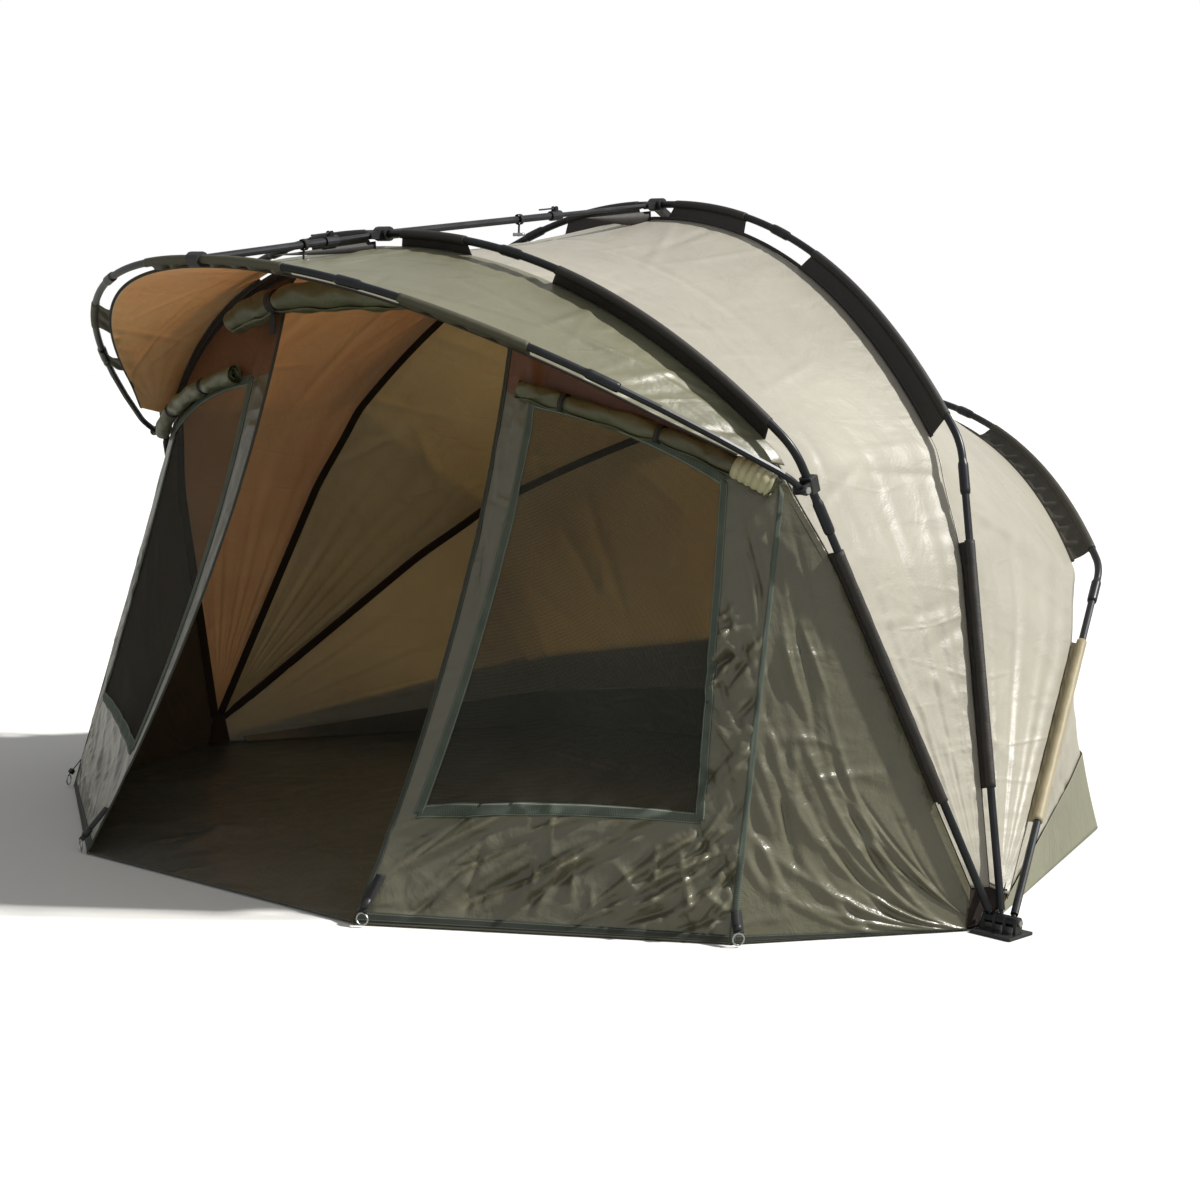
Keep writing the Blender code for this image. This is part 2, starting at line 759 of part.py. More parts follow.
def cloth_edge(rib, seam, start):
    """World points of a whole seam in the rib's plane."""
    return [rib.place(point) for point in mirrored(resample(seam, seam_shares(start)))]


def beside_web(rib, points, others):
    """Seam points moved towards the cloth's other edge, so that its slanted edge clears the web."""
    normal = rib.frame.to_3x3() @ Vector((0.0, 0.0, 1.0))
    moved = []
    for point, other in zip(points, others):
        facing = normal.dot((other - point).normalized())
        slant = math.sqrt(1 - facing * facing)
        reach = CLOTH / 2 + SEAM_GAP + slant * CLOTH / 2
        moved.append(point + normal * math.copysign(reach, facing))
    return moved


def span_rows(edge_a, edge_b, sag, centre):
    """Rows between two edges, drawn in towards a centre line by a sag that wide spans have."""
    rows = []
    for i in range(CANOPY_SPANS + 1):
        share = i / CANOPY_SPANS
        pull = 4 * share * (1 - share) * sag
        row = []
        for a, b in zip(edge_a, edge_b):
            point = lerp(a, b, share)
            inward = Vector((-point.x, centre.y - point.y, centre.z - point.z))
            row.append(point + inward.normalized() * pull * smooth_step((a - b).length / FULL_SAG_SPAN))
        rows.append(row)
    return rows


def roof_seam(rib):
    """The seam where the roof cloth meets a rib's web."""
    start = rib.elbow.y * SEAM_RAMP_START_SHARE
    return rib.seam(ARCH_SEAM_DEPTH, LEG_SEAM_DEPTH, CROWN_SEAM_DEPTH, start, rib.elbow.y - start)


def make_canopies():
    """The two roof panels between the ribs and the hood's cloth."""
    front, mid, rear = (roof_seam(rib) for rib in (FRONT, MID, REAR))
    centre = Vector((0.0, 0.0, HUB_AXIS_HEIGHT))
    start = SEAM_START_SHARE
    seams = {rib: cloth_edge(rib, seam, start) for rib, seam in ((FRONT, front), (MID, mid), (REAR, rear))}
    edge_a = beside_web(FRONT, seams[FRONT], seams[MID])
    edge_b = beside_web(MID, seams[MID], seams[FRONT])
    cloth_sheet("canopy_front", "front_rib", "canopy", span_rows(edge_a, edge_b, CANOPY_SAG, centre))
    edge_a = beside_web(MID, seams[MID], seams[REAR])
    edge_b = beside_web(REAR, seams[REAR], seams[MID])
    cloth_sheet("canopy_rear", "mid_rib", "canopy", span_rows(edge_a, edge_b, CANOPY_SAG, centre))
    join = FRONT.seam(HOOD_JOIN_DEPTH, HOOD_JOIN_DEPTH, HOOD_JOIN_CROWN_DEPTH, 0.0, FRONT.elbow.y)
    join = [point for point in join if point.y > KNUCKLE_RISE + KNUCKLE_HEIGHT]
    hood = HOOD.seam(HOOD_SEAM_DEPTH, HOOD_FOOT_DEPTH, HOOD_CROWN_DEPTH, 0.0, HOOD_SEAM_RAMP)
    join_edge = cloth_edge(FRONT, join, 0.0)
    hood_edge = cloth_edge(HOOD, hood, HOOD_START_SHARE)
    edge_a = beside_web(FRONT, join_edge, hood_edge)
    edge_b = beside_web(HOOD, hood_edge, join_edge)
    knuckle_centre = Vector((0.0, HOOD_AXIS.y, HOOD_AXIS.z))
    cloth_sheet("hood_cloth", "hood_rib", "hood", span_rows(edge_a, edge_b, HOOD_SAG, knuckle_centre))


def rear_hem(share):
    """The rear panel's hem on the ground, from hub to centre back."""
    stops = (
        (0.0, Vector((HUB_CORNER_X, HUB_CORNER_Y, HEM_HEIGHT))),
        (REAR_CORNER_SHARE, Vector((REAR_CORNER_X, REAR_CORNER_Y, HEM_HEIGHT))),
        (REAR_SIDE_SHARE, Vector((REAR_SIDE_X, REAR_SIDE_Y, HEM_HEIGHT))),
        (1.0, Vector((0.0, REAR_MIDDLE_Y, HEM_HEIGHT))),
    )
    for (low, a), (high, b) in zip(stops, stops[1:]):
        if share <= high:
            return lerp(a, b, (share - low) / (high - low))
    return stops[-1][1]


def make_rear_panel():
    """The back wall from the rear rib down to the ground."""
    rear = roof_seam(REAR)
    half = [rear_hem(i / SEAM_STEPS) for i in range(SEAM_STEPS + 1)]
    foot = mirrored(half)
    top = beside_web(REAR, cloth_edge(REAR, rear, SEAM_START_SHARE), foot)
    centre = Vector((0.0, 0.0, HUB_AXIS_HEIGHT))
    cloth_sheet("rear_panel", "ground", "canopy", span_rows(top, foot, REAR_SAG, centre))


def corner_foot(side):
    """A front corner of the hem: the left one is pegged further forward."""
    return Vector((side * CORNER_X, CORNER_Y + side * CORNER_SKEW, HEM_HEIGHT))


def door_foot(side):
    """The foot of a door edge, askew as the corners are."""
    return Vector((side * DOOR_FOOT_X + DOOR_SHIFT, DOOR_FOOT_Y + side * DOOR_SKEW, HEM_HEIGHT))


def make_groundsheet():
    """The flat groundsheet inside the hems."""
    back = [
        Vector((HUB_CORNER_X, -HUB_CORNER_Y)),
        Vector((HUB_CORNER_X, HUB_CORNER_Y)),
        Vector((REAR_CORNER_X, REAR_CORNER_Y)),
        Vector((REAR_SIDE_X, REAR_SIDE_Y)),
        Vector((0.0, REAR_MIDDLE_Y)),
    ]
    right = [door_foot(1).xy, corner_foot(1).xy]
    left = [corner_foot(-1).xy, door_foot(-1).xy]
    frame = Matrix.Translation((0.0, 0.0, GROUNDSHEET_THICKNESS / 2))
    outline = right + mirrored(back) + left
    flat_plate("groundsheet", "ground", frame, "groundsheet", outline, GROUNDSHEET_THICKNESS)


def door_head_share(seam, side):
    """The share of a seam's length at which the door starts: the door sits a little to the right."""
    lengths = arc_lengths(seam)
    wanted = DOOR_HEAD_X + side * DOOR_SHIFT
    for index in range(1, len(seam)):
        a, b = seam[index - 1], seam[index]
        if b.x <= wanted < a.x:
            length = lerp(lengths[index - 1], lengths[index], (a.x - wanted) / (a.x - b.x))
            return length / lengths[-1]
    return 1.0


def corner_head_share(seam):
    """The share of a seam's length at the knuckle, where the corner seam starts."""
    lengths = arc_lengths(seam)
    for point, length in zip(seam, lengths):
        if point.y > KNUCKLE_RISE:
            return length / lengths[-1]
    return 1.0


WALL_SEAM = roof_seam(FRONT)


def wall_point(side, run, drop, fold=0.0):
    """A point of a front wall: run 0 to 1 is the wing, 1 to 2 the front, drop 0 to 1 goes down."""
    corner = corner_head_share(WALL_SEAM)
    door = door_head_share(WALL_SEAM, side)
    if run <= 1.0:
        share = lerp(SEAM_START_SHARE, corner, run)
        hub = Vector((side * HUB_CORNER_X, -HUB_CORNER_Y, HEM_HEIGHT))
        foot = lerp(hub, corner_foot(side), run)
    else:
        share = lerp(corner, door, run - 1.0)
        foot = lerp(corner_foot(side), door_foot(side), run - 1.0)
    flat = resample(WALL_SEAM, [share])[0]
    seam = FRONT.place(Vector((side * flat.x, flat.y)))
    top = beside_web(FRONT, [seam], [foot])[0]
    point = lerp(top, foot, drop)
    point.y += door_bow(run, drop) - fold
    return point


def door_bow(run, drop):
    """How far the front panel draws back towards the door's edge, as its edge tape pulls."""
    return DOOR_EDGE_BOW * max(run - 1.0, 0.0) * 4 * drop * (1 - drop)


def wing_fold(run, drop):
    """How far the wing stands forward in its fan of folds from the front corner."""
    angle = math.atan2(1 - run, 1 - drop + POLE_RADIUS)
    ends = math.sin(math.pi * run) * math.sin(math.pi * drop)
    return WING_FOLD_DEPTH * ends * math.sin(WING_FOLDS * 2 * angle)


def foot_fold(across, down):
    """How far the panel under the window stands forward in its rolls."""
    ends = math.sin(math.pi * across) * math.sin(math.pi * down)
    return FOOT_FOLD_DEPTH * ends * math.sin(FOOT_FOLDS * 2 * math.pi * across)


def window_point(side, across, down):
    """A point of the window: across goes from the corner's side to the door's, down to its foot."""
    head_run = lerp(*WINDOW_HEAD_RUN_SHARES, across)
    foot_run = lerp(*WINDOW_FOOT_RUN_SHARES, across)
    head_drop = lerp(*WINDOW_HEAD_DROP_SHARES, across)
    foot_drop = lerp(*WINDOW_FOOT_DROP_SHARES, across)
    return wall_point(side, 1.0 + lerp(head_run, foot_run, down), lerp(head_drop, foot_drop, down))


def wall_column(side, across):
    """One column of a front panel, through the window's rows and down to the hem."""
    head_run = lerp(*WINDOW_HEAD_RUN_SHARES, across)
    foot_run = lerp(*WINDOW_FOOT_RUN_SHARES, across)
    head_drop = lerp(*WINDOW_HEAD_DROP_SHARES, across)
    foot_drop = lerp(*WINDOW_FOOT_DROP_SHARES, across)
    column = [wall_point(side, 1.0 + head_run, head_drop * down) for down in HEAD_STEP_SHARES]
    column += [window_point(side, across, down) for down in WINDOW_STEP_SHARES]
    for down in FOOT_STEP_SHARES:
        fold = foot_fold(across, down)
        column.append(wall_point(side, 1.0 + foot_run, lerp(foot_drop, 1.0, down), fold))
    return column


def edge_column(side, run, across):
    """A column beside the window, level with the window's rows."""
    head = lerp(*WINDOW_HEAD_DROP_SHARES, across)
    foot = lerp(*WINDOW_FOOT_DROP_SHARES, across)
    drops = [head * down for down in HEAD_STEP_SHARES]
    drops += [lerp(head, foot, down) for down in WINDOW_STEP_SHARES]
    drops += [lerp(foot, 1.0, down) for down in FOOT_STEP_SHARES]
    return [wall_point(side, run, drop, wing_fold(run, drop) if run < 1.0 else 0.0) for drop in drops]


def make_wall(side, tag):
    """A front wall: side wing, corner and front panel with its window opening."""
    columns = [edge_column(side, run, 0.0) for run in (*WING_STEP_SHARES, 1.0)]
    first = len(columns)
    columns += [wall_column(side, across) for across in WINDOW_STEP_SHARES]
    columns.append(edge_column(side, 2.0, 1.0))
    rows = [list(row) for row in zip(*columns)]
    steps = len(WINDOW_STEP_SHARES) - 1
    head = len(HEAD_STEP_SHARES)
    holes = {(i, j) for i in range(head, head + steps) for j in range(first, first + steps)}
    wall = cloth_sheet(f"front_wall_{tag}", "front_rib", "wall", rows, CLOTH, holes)
    width = (window_point(side, 0.0, 0.5) - window_point(side, 1.0, 0.5)).length
    height = (window_point(side, 0.5, 0.0) - window_point(side, 0.5, 1.0)).length
    inset = WINDOW_EDGE_GAP / width
    drop = WINDOW_EDGE_GAP / height
    across = [lerp(inset, 1 - inset, share) for share in WINDOW_STEP_SHARES]
    down = [lerp(drop, 1 - drop, share) for share in WINDOW_STEP_SHARES]
    rows = [[window_point(side, u, v) for u in across] for v in down]
    cloth_sheet(f"window_net_{tag}", "front_rib", "net", rows, NET_CLOTH)
    return wall


def roll_scales(ties, radius, count):
    """Radius scale along a rolled cover, drawn in at its ties and ends."""
    scales = []
    for i in range(count + 1):
        share = i / count
        pinch = max(math.exp(-(((share - tie) * count / 2) ** 2)) for tie in ties)
        scales.append(1 - pinch * ROLL_TIE_PINCH / radius)
    return scales


def make_window_roll(side, tag):
    """The rolled window cover, tied up along the window's head."""
    end = RIGHT_ROLL_END_SHARE if side > 0 else LEFT_ROLL_END_SHARE
    points = []
    for i in range(ROLL_STEPS + 1):
        share = lerp(WINDOW_ROLL_START_SHARE, end, i / ROLL_STEPS)
        drop = lerp(*WINDOW_ROLL_DROP_SHARES, math.sin(math.pi / 2 * share))
        here = wall_point(side, 1.0 + share, drop)
        down = wall_point(side, 1.0 + share, 1.0) - here
        nearby = wall_point(side, 1.0 + share + 1 / ROLL_STEPS, drop) - here
        outward = nearby.cross(down).normalized()
        if outward.y > 0:
            outward = -outward
        points.append(here + outward * (WINDOW_ROLL_RADIUS + CLOTH / 2 + SEAT_GAP))
    name = f"window_roll_{tag}"
    ties = RIGHT_TIE_SHARES if side > 0 else LEFT_TIE_SHARES
    scales = roll_scales(ties, WINDOW_ROLL_RADIUS, ROLL_STEPS)
    curve_pole(name, "front_rib", Matrix.Identity(4), "roll", points, WINDOW_ROLL_RADIUS, scales)


def seam_rise(seam, x):
    """The rise of a seam at a distance x from the centre line."""
    for a, b in zip(seam, seam[1:]):
        if b.x <= x <= a.x:
            return lerp(a.y, b.y, (a.x - x) / (a.x - b.x))
    return seam[-1].y


def make_door_roll():
    """The rolled door, hung under the front rib: its left end lies outside the left wall."""
    points = []
    scales = roll_scales(DOOR_TIE_SHARES, DOOR_ROLL_RADIUS, ROLL_STEPS)
    for i in range(ROLL_STEPS + 1):
        x = lerp(DOOR_ROLL_RIGHT_X, -DOOR_ROLL_LEFT_X, i / ROLL_STEPS)
        aside = smooth_step(-x / DOOR_ROLL_LEFT_RUN)
        drop = lerp(DOOR_ROLL_DROP, DOOR_ROLL_LEFT_DROP, aside)
        forward = lerp(DOOR_ROLL_FORWARD, DOOR_ROLL_LEFT_FORWARD, aside)
        points.append(FRONT.place(Vector((x, seam_rise(WALL_SEAM, abs(x)) - drop)), forward))
        scales[i] *= lerp(DOOR_ROLL_TAPER_SHARE, 1.0, math.sin(math.pi / 2 * min(2 * i / ROLL_STEPS, 1.0)))
    world = Matrix.Identity(4)
    roll = curve_pole("door_roll", "front_rib", world, "roll", points, DOOR_ROLL_RADIUS, scales)
    roll = as_mesh(roll, "front_rib", world, "roll")
    flat = [Vector((x, seam_rise(WALL_SEAM, x))) for x in (DOOR_STRAP_X + SEAT_GAP, DOOR_STRAP_X - SEAT_GAP)]
    along = (flat[1] - flat[0]).normalized()
    hang = flat[0] + Vector((-along.y, along.x)) * (DOOR_STRAP_THICKNESS / 2 + SEAM_GAP)
    top = FRONT.place(Vector((-hang.x, hang.y)))
    across = FRONT.frame.to_3x3() @ Vector((along.x, -along.y, 0.0))
    near = min(points, key=lambda point: abs(point.x + DOOR_STRAP_X))
    down = near - top
    down -= across * down.dot(across)
    length = down.length
    down.normalize()
    turn = Matrix((across, down, across.cross(down))).transposed().to_4x4()
    strap = block((DOOR_STRAP_WIDTH, length, DOOR_STRAP_THICKNESS), (0.0, length / 2, 0.0))
    combine(roll, strap, "UNION", "front_rib", Matrix.Translation(top) @ turn)


def torus(radius, wire_radius):
    """A ring in the XZ plane whose top passes through the frame's origin."""
    bpy.ops.mesh.primitive_torus_add(
        major_segments=RING_STEPS,
        minor_segments=RING_SIDES,
        major_radius=radius,
        minor_radius=wire_radius,
    )
    made = bpy.context.object
    data = made.data
    bpy.data.objects.remove(made)
    data.transform(Matrix.Translation((0.0, 0.0, -radius)) @ Matrix.Rotation(math.pi / 2, 4, "X"))
    data.shade_smooth()
    return data


def make_ring(name, side, run, wall):
    """A webbing tab fused to the wall's hem and the steel ring that hangs in it."""
    hang = TAB_EYE_RADIUS - RING_WIRE_RADIUS - SEAT_GAP
    height = RING_FLOOR_GAP + RING_WIRE_RADIUS + 2 * RING_RADIUS + hang
    top = wall_point(side, run, 0.0)
    foot = wall_point(side, run, 1.0)
    centre = lerp(foot, top, (height - foot.z) / (top.z - foot.z))
    outward = Vector((centre.x, centre.y, 0.0)).normalized()
    across = Vector((-outward.y, outward.x, 0.0))
    turn = Matrix((across, -outward, Vector((0.0, 0.0, 1.0)))).transposed().to_4x4()
    frame = Matrix.Translation(centre) @ turn
    size = (TAB_THICKNESS, TAB_LENGTH, TAB_WIDTH)
    tab = block(size, (0.0, TAB_SINK - TAB_LENGTH / 2, 0.0))
    combine(wall, tab, "UNION", "front_rib", frame)
    hole_y = TAB_SINK - TAB_LENGTH + 2 * TAB_EYE_RADIUS
    reach = TAB_THICKNESS / 2 + CUT_OVERRUN
    hole = rod(TAB_EYE_RADIUS, (-reach, hole_y, 0.0), (reach, hole_y, 0.0))
    combine(wall, hole, "DIFFERENCE", "front_rib", frame)
    ring_frame = frame @ Matrix.Translation((0.0, hole_y, -hang))
    body(f"{name}_swing", ring_frame)
    add_object(name, torus(RING_RADIUS, RING_WIRE_RADIUS), f"{name}_swing", ring_frame, "steel")
    print(name, "hinge at", tuple(round(v, 5) for v in ring_frame.translation), "axis", tuple(round(v, 5) for v in across))


def make_hub(side, tag):
    """The ground block with four lugs and the bolt that the legs turn on."""
    frame = Matrix.Translation((side * HUB_HALF_SPAN, 0.0, 0.0))
    base = block(
        (HUB_BASE_LENGTH, HUB_BASE_WIDTH, HUB_BASE_THICKNESS),
        (0.0, 0.0, HUB_BASE_THICKNESS / 2),
        HUB_EDGE,
    )
    add = []
    half = LUG_THICKNESS / 2
    for lane in (-1.5, -0.5, 0.5, 1.5):
        x = lane * LUG_SPACING
        foot = (0.0, HUB_BASE_THICKNESS / 2)
        add.append(lug(x - half, x + half, LUG_RADIUS, foot, (0.0, HUB_AXIS_HEIGHT)))
    reach = 1.5 * LUG_SPACING + half
    over = reach + CUT_OVERRUN
    hole = BOLT_RADIUS + SEAT_GAP
    cut = [rod(hole, (-over, 0.0, HUB_AXIS_HEIGHT), (over, 0.0, HUB_AXIS_HEIGHT))]
    for way in (-1, 1):
        y = way * (HUB_BASE_WIDTH / 2 - HUB_PEG_HOLE_INSET)
        cut.append(rod(HUB_PEG_HOLE_RADIUS, (0.0, y, -CUT_OVERRUN), (0.0, y, HUB_BASE_THICKNESS + CUT_OVERRUN)))
    solid(f"hub_block_{tag}", "ground", frame, "moulding", base, add, cut)
    make_bolt(f"hub_bolt_{tag}", "ground", frame @ Matrix.Translation((0.0, 0.0, HUB_AXIS_HEIGHT)), reach)


def make_bolt(name, owner, frame, reach):
    """A bolt along X with a head and a nut just outside its reach."""
    seat = reach + SEAT_GAP
    end = seat + BOLT_HEAD_THICKNESS
    shank = rod(BOLT_RADIUS, (-end, 0.0, 0.0), (end, 0.0, 0.0))
    head = rod(BOLT_HEAD_RADIUS, (seat, 0.0, 0.0), (end + SEAT_GAP, 0.0, 0.0), BOLT_SIDES)
    nut = rod(BOLT_HEAD_RADIUS, (-end - SEAT_GAP, 0.0, 0.0), (-seat, 0.0, 0.0), BOLT_SIDES)
    solid(name, owner, frame, "steel", shank, (head, nut))


def make_knuckle(side, tag):
    """The clamp on the front rib with two lugs and the bolt that carries a hood arm."""
    frame = FRONT.frame @ Matrix.Translation((side * KNUCKLE.x, KNUCKLE_RISE, 0.0))
    along = (FRONT.elbow - FRONT.foot).normalized()
    way = Vector((side * along.x, along.y, 0.0)) * KNUCKLE_HEIGHT
    clamp = block((KNUCKLE_WIDTH, KNUCKLE_HEIGHT, KNUCKLE_DEPTH), (0.0, 0.0, 0.0), HUB_EDGE)
    eye_half = HOOD_POLE_RADIUS + SEAT_GAP
    lug_half = KNUCKLE_LUG_THICKNESS / 2
    add = []
    for hand in (-1, 1):
        x = hand * (eye_half + lug_half)
        add.append(lug(x - lug_half, x + lug_half, KNUCKLE_LUG_RADIUS, (0.0, 0.0), (0.0, KNUCKLE_OFFSET)))
    reach = eye_half + KNUCKLE_LUG_THICKNESS
    over = reach + CUT_OVERRUN
    cut = [
        rod(POLE_RADIUS + SEAT_GAP, -way, way),
        rod(BOLT_RADIUS + SEAT_GAP, (-over, 0.0, KNUCKLE_OFFSET), (over, 0.0, KNUCKLE_OFFSET)),
    ]
    solid(f"knuckle_{tag}", "front_rib", frame, "moulding", clamp, add, cut)
    bolt_frame = frame @ Matrix.Translation((0.0, 0.0, KNUCKLE_OFFSET))
    make_bolt(f"knuckle_bolt_{tag}", "front_rib", bolt_frame, reach)


def make_hood_arm(side, tag):
    """A hood arm from its eye up into the hood arch's ferrule."""
    joint = HOOD.at_rise(HOOD_JOINT_RISE)
    outline = [point for point in HOOD.half_outline() if EYE_RADIUS < point.y < HOOD_JOINT_RISE]
    socket = arch_profile(HOOD, HOOD_JOINT_RISE, HOOD_POLE_RADIUS, HOOD_FERRULE_X)[0]
    along = (socket[1] - socket[0]).normalized()
    end = joint + along * (SPIGOT_LENGTH - SEAT_GAP)
    path = [HOOD.foot] + outline + [joint, end]
    points = [(side * point.x, point.y, 0.0) for point in path]
    radius = HOOD_POLE_RADIUS - SEAT_GAP
    name = f"hood_arm_{tag}"
    arm = curve_pole(name, "hood_rib", HOOD.frame, "pole", points, radius)
    arm = as_mesh(arm, "hood_rib", HOOD.frame, "pole")
    foot = Vector((side * HOOD.foot.x, 0.0, 0.0))
    half = Vector((HOOD_POLE_RADIUS, 0.0, 0.0))
    over = Vector((HOOD_POLE_RADIUS + CUT_OVERRUN, 0.0, 0.0))
    combine(arm, rod(HOOD_EYE_RADIUS, foot - half, foot + half), "UNION", "hood_rib", HOOD.frame)
    bore = rod(BOLT_RADIUS + SEAT_GAP, foot - over, foot + over)
    combine(arm, bore, "DIFFERENCE", "hood_rib", HOOD.frame)


def bar_frame(back, front):
    """A ridge bar's frame at the back rib's crown: Y runs to the front crown, Z is up."""
    start = back.place(back.crown)
    end = front.place(front.crown)
    along = (end - start).normalized()
    side = Vector((-1.0, 0.0, 0.0))
    up = side.cross(along)
    frame = Matrix.Identity(4)
    for row in range(3):
        frame[row][0] = side[row]
        frame[row][1] = along[row]
        frame[row][2] = up[row]
    return Matrix.Translation(start) @ frame, (end - start).length


def make_connector(name, owner, rib, radius, ahead=None, behind=None):
    """A crown connector: a collar, ears for the bar ahead and a saddle for the bar behind."""
    half = CONNECTOR_LENGTH / 2
    base = rod(CONNECTOR_RADIUS, (-half, 0.0, 0.0), (half, 0.0, 0.0), ROD_SIDES)
    crown = rib.place(rib.crown)
    obj = add_object(name, base, owner, Matrix.Translation(crown), "moulding")
    if ahead:
        frame = bar_frame(rib, ahead)[0]
        eye = BAR_EYE_WIDTH / 2 + SEAT_GAP
        for hand in (-1, 1):
            low, high = sorted((hand * eye, hand * (eye + EAR_THICKNESS)))
            ear = lug(low, high, EAR_RADIUS, (0.0, 0.0), (CONNECTOR_REACH, 0.0))
            combine(obj, ear, "UNION", owner, frame)
        reach = eye + EAR_THICKNESS / 2
        pin = rod(PIN_RADIUS, (-reach, CONNECTOR_REACH, 0.0), (reach, CONNECTOR_REACH, 0.0))
        combine(obj, pin, "UNION", owner, frame)
    if behind:
        frame, length = bar_frame(behind, rib)
        inside = BAR_OUTER_RADIUS + SEAT_GAP
        outside = inside + SADDLE_WALL
        profile = (
            (-outside, 0.0), (-outside, -outside), (outside, -outside), (outside, 0.0),
            (inside, 0.0), (inside, -inside), (-inside, -inside), (-inside, 0.0),
        )
        end = length - SADDLE_START
        saddle = extruded(profile, end - SADDLE_LENGTH, end)
        saddle.transform(Matrix.Rotation(math.pi / 2, 4, "Z"))
        combine(obj, saddle, "UNION", owner, frame)
    over = half + CUT_OVERRUN
    hole = rod(radius + COLLAR_GAP, (-over, 0.0, 0.0), (over, 0.0, 0.0))
    combine(obj, hole, "DIFFERENCE", owner, Matrix.Translation(crown))
    return obj


def make_bar(tag, back, front, exposed):
    """A telescopic ridge bar: inner tube on its pin, outer tube and cam lever."""
    frame, length = bar_frame(back, front)
    owner = f"{tag}_swing"
    free_end = length - CONNECTOR_RADIUS - BAR_END_GAP
    pivot = Vector((0.0, CONNECTOR_REACH, 0.0))
    half = Vector((BAR_EYE_WIDTH / 2, 0.0, 0.0))
    over = Vector((BAR_EYE_WIDTH / 2 + CUT_OVERRUN, 0.0, 0.0))
    collar_start = CONNECTOR_REACH + exposed
    tip = (0.0, collar_start + BAR_OVERLAP, 0.0)
    tube = rod(BAR_INNER_RADIUS, pivot, tip)
    eye = rod(BAR_EYE_RADIUS, pivot - half, pivot + half)
    bore = rod(PIN_RADIUS + SEAT_GAP, pivot - over, pivot + over)
    solid(f"{tag}_inner_tube", owner, frame, "pole", eye, (tube,), (bore,))
    slider = f"{tag}_slide"
    outer = rod(BAR_OUTER_RADIUS, (0.0, collar_start, 0.0), (0.0, free_end, 0.0))
    collar_end = collar_start + COLLAR_LENGTH
    collar = rod(COLLAR_RADIUS, (0.0, collar_start - SEAT_GAP, 0.0), (0.0, collar_end, 0.0))
    middle = collar_start + COLLAR_LENGTH / 2
    add = [collar]
    ear_x = LEVER_WIDTH / 2 + SEAT_GAP + LEVER_EAR_THICKNESS / 2
    for hand in (-1, 1):
        low = hand * ear_x - LEVER_EAR_THICKNESS / 2
        high = hand * ear_x + LEVER_EAR_THICKNESS / 2
        add.append(lug(low, high, LEVER_EAR_RADIUS, (middle, 0.0), (middle, LEVER_PIN_HEIGHT)))
    bore_low = (0.0, collar_start - CUT_OVERRUN, 0.0)
    bore_high = (0.0, free_end + CUT_OVERRUN, 0.0)
    reach = ear_x + LEVER_EAR_THICKNESS
    pin_a = (-reach, middle, LEVER_PIN_HEIGHT)
    pin_b = (reach, middle, LEVER_PIN_HEIGHT)
    cut = (rod(BAR_INNER_RADIUS + SEAT_GAP, bore_low, bore_high), rod(LEVER_PIN_RADIUS + SEAT_GAP, pin_a, pin_b))
    solid(f"{tag}_outer_tube", slider, frame, "pole", outer, add, cut)
    width = LEVER_WIDTH / 2
    eye = rod(LEVER_EYE_RADIUS, (-width, middle, LEVER_PIN_HEIGHT), (width, middle, LEVER_PIN_HEIGHT))
    handle_y = middle + LEVER_LENGTH / 2
    handle = block((LEVER_WIDTH, LEVER_LENGTH, LEVER_THICKNESS), (0.0, handle_y, LEVER_PIN_HEIGHT), SEAT_GAP)
    pin_reach = ear_x + LEVER_EAR_THICKNESS / 2
    pin = rod(LEVER_PIN_RADIUS, (-pin_reach, middle, LEVER_PIN_HEIGHT), (pin_reach, middle, LEVER_PIN_HEIGHT))
    solid(f"{tag}_lever", f"{tag}_lever_turn", frame, "moulding", eye, (handle, pin))


def make_bodies():
    """One empty for each moving body, on its joint axis."""
    body("ground", Matrix.Identity(4))
    hub_axis = Matrix.Translation((0.0, 0.0, HUB_AXIS_HEIGHT))
    for name in ("rear_rib", "mid_rib", "front_rib"):
        body(name, hub_axis)
    body("hood_rib", Matrix.Translation(HOOD_AXIS))
    for tag, back, front, exposed in BARS:
        frame = bar_frame(back, front)[0]
        body(f"{tag}_swing", frame @ Matrix.Translation((0.0, CONNECTOR_REACH, 0.0)))
        body(f"{tag}_slide", frame)
        middle = CONNECTOR_REACH + exposed + COLLAR_LENGTH / 2
        body(f"{tag}_lever_turn", frame @ Matrix.Translation((0.0, middle, LEVER_PIN_HEIGHT)))


BARS = (
    ("hood_bar", FRONT, HOOD, HOOD_BAR_EXPOSED),
    ("front_bar", MID, FRONT, FRONT_BAR_EXPOSED),
    ("rear_bar", REAR, MID, REAR_BAR_EXPOSED),
)


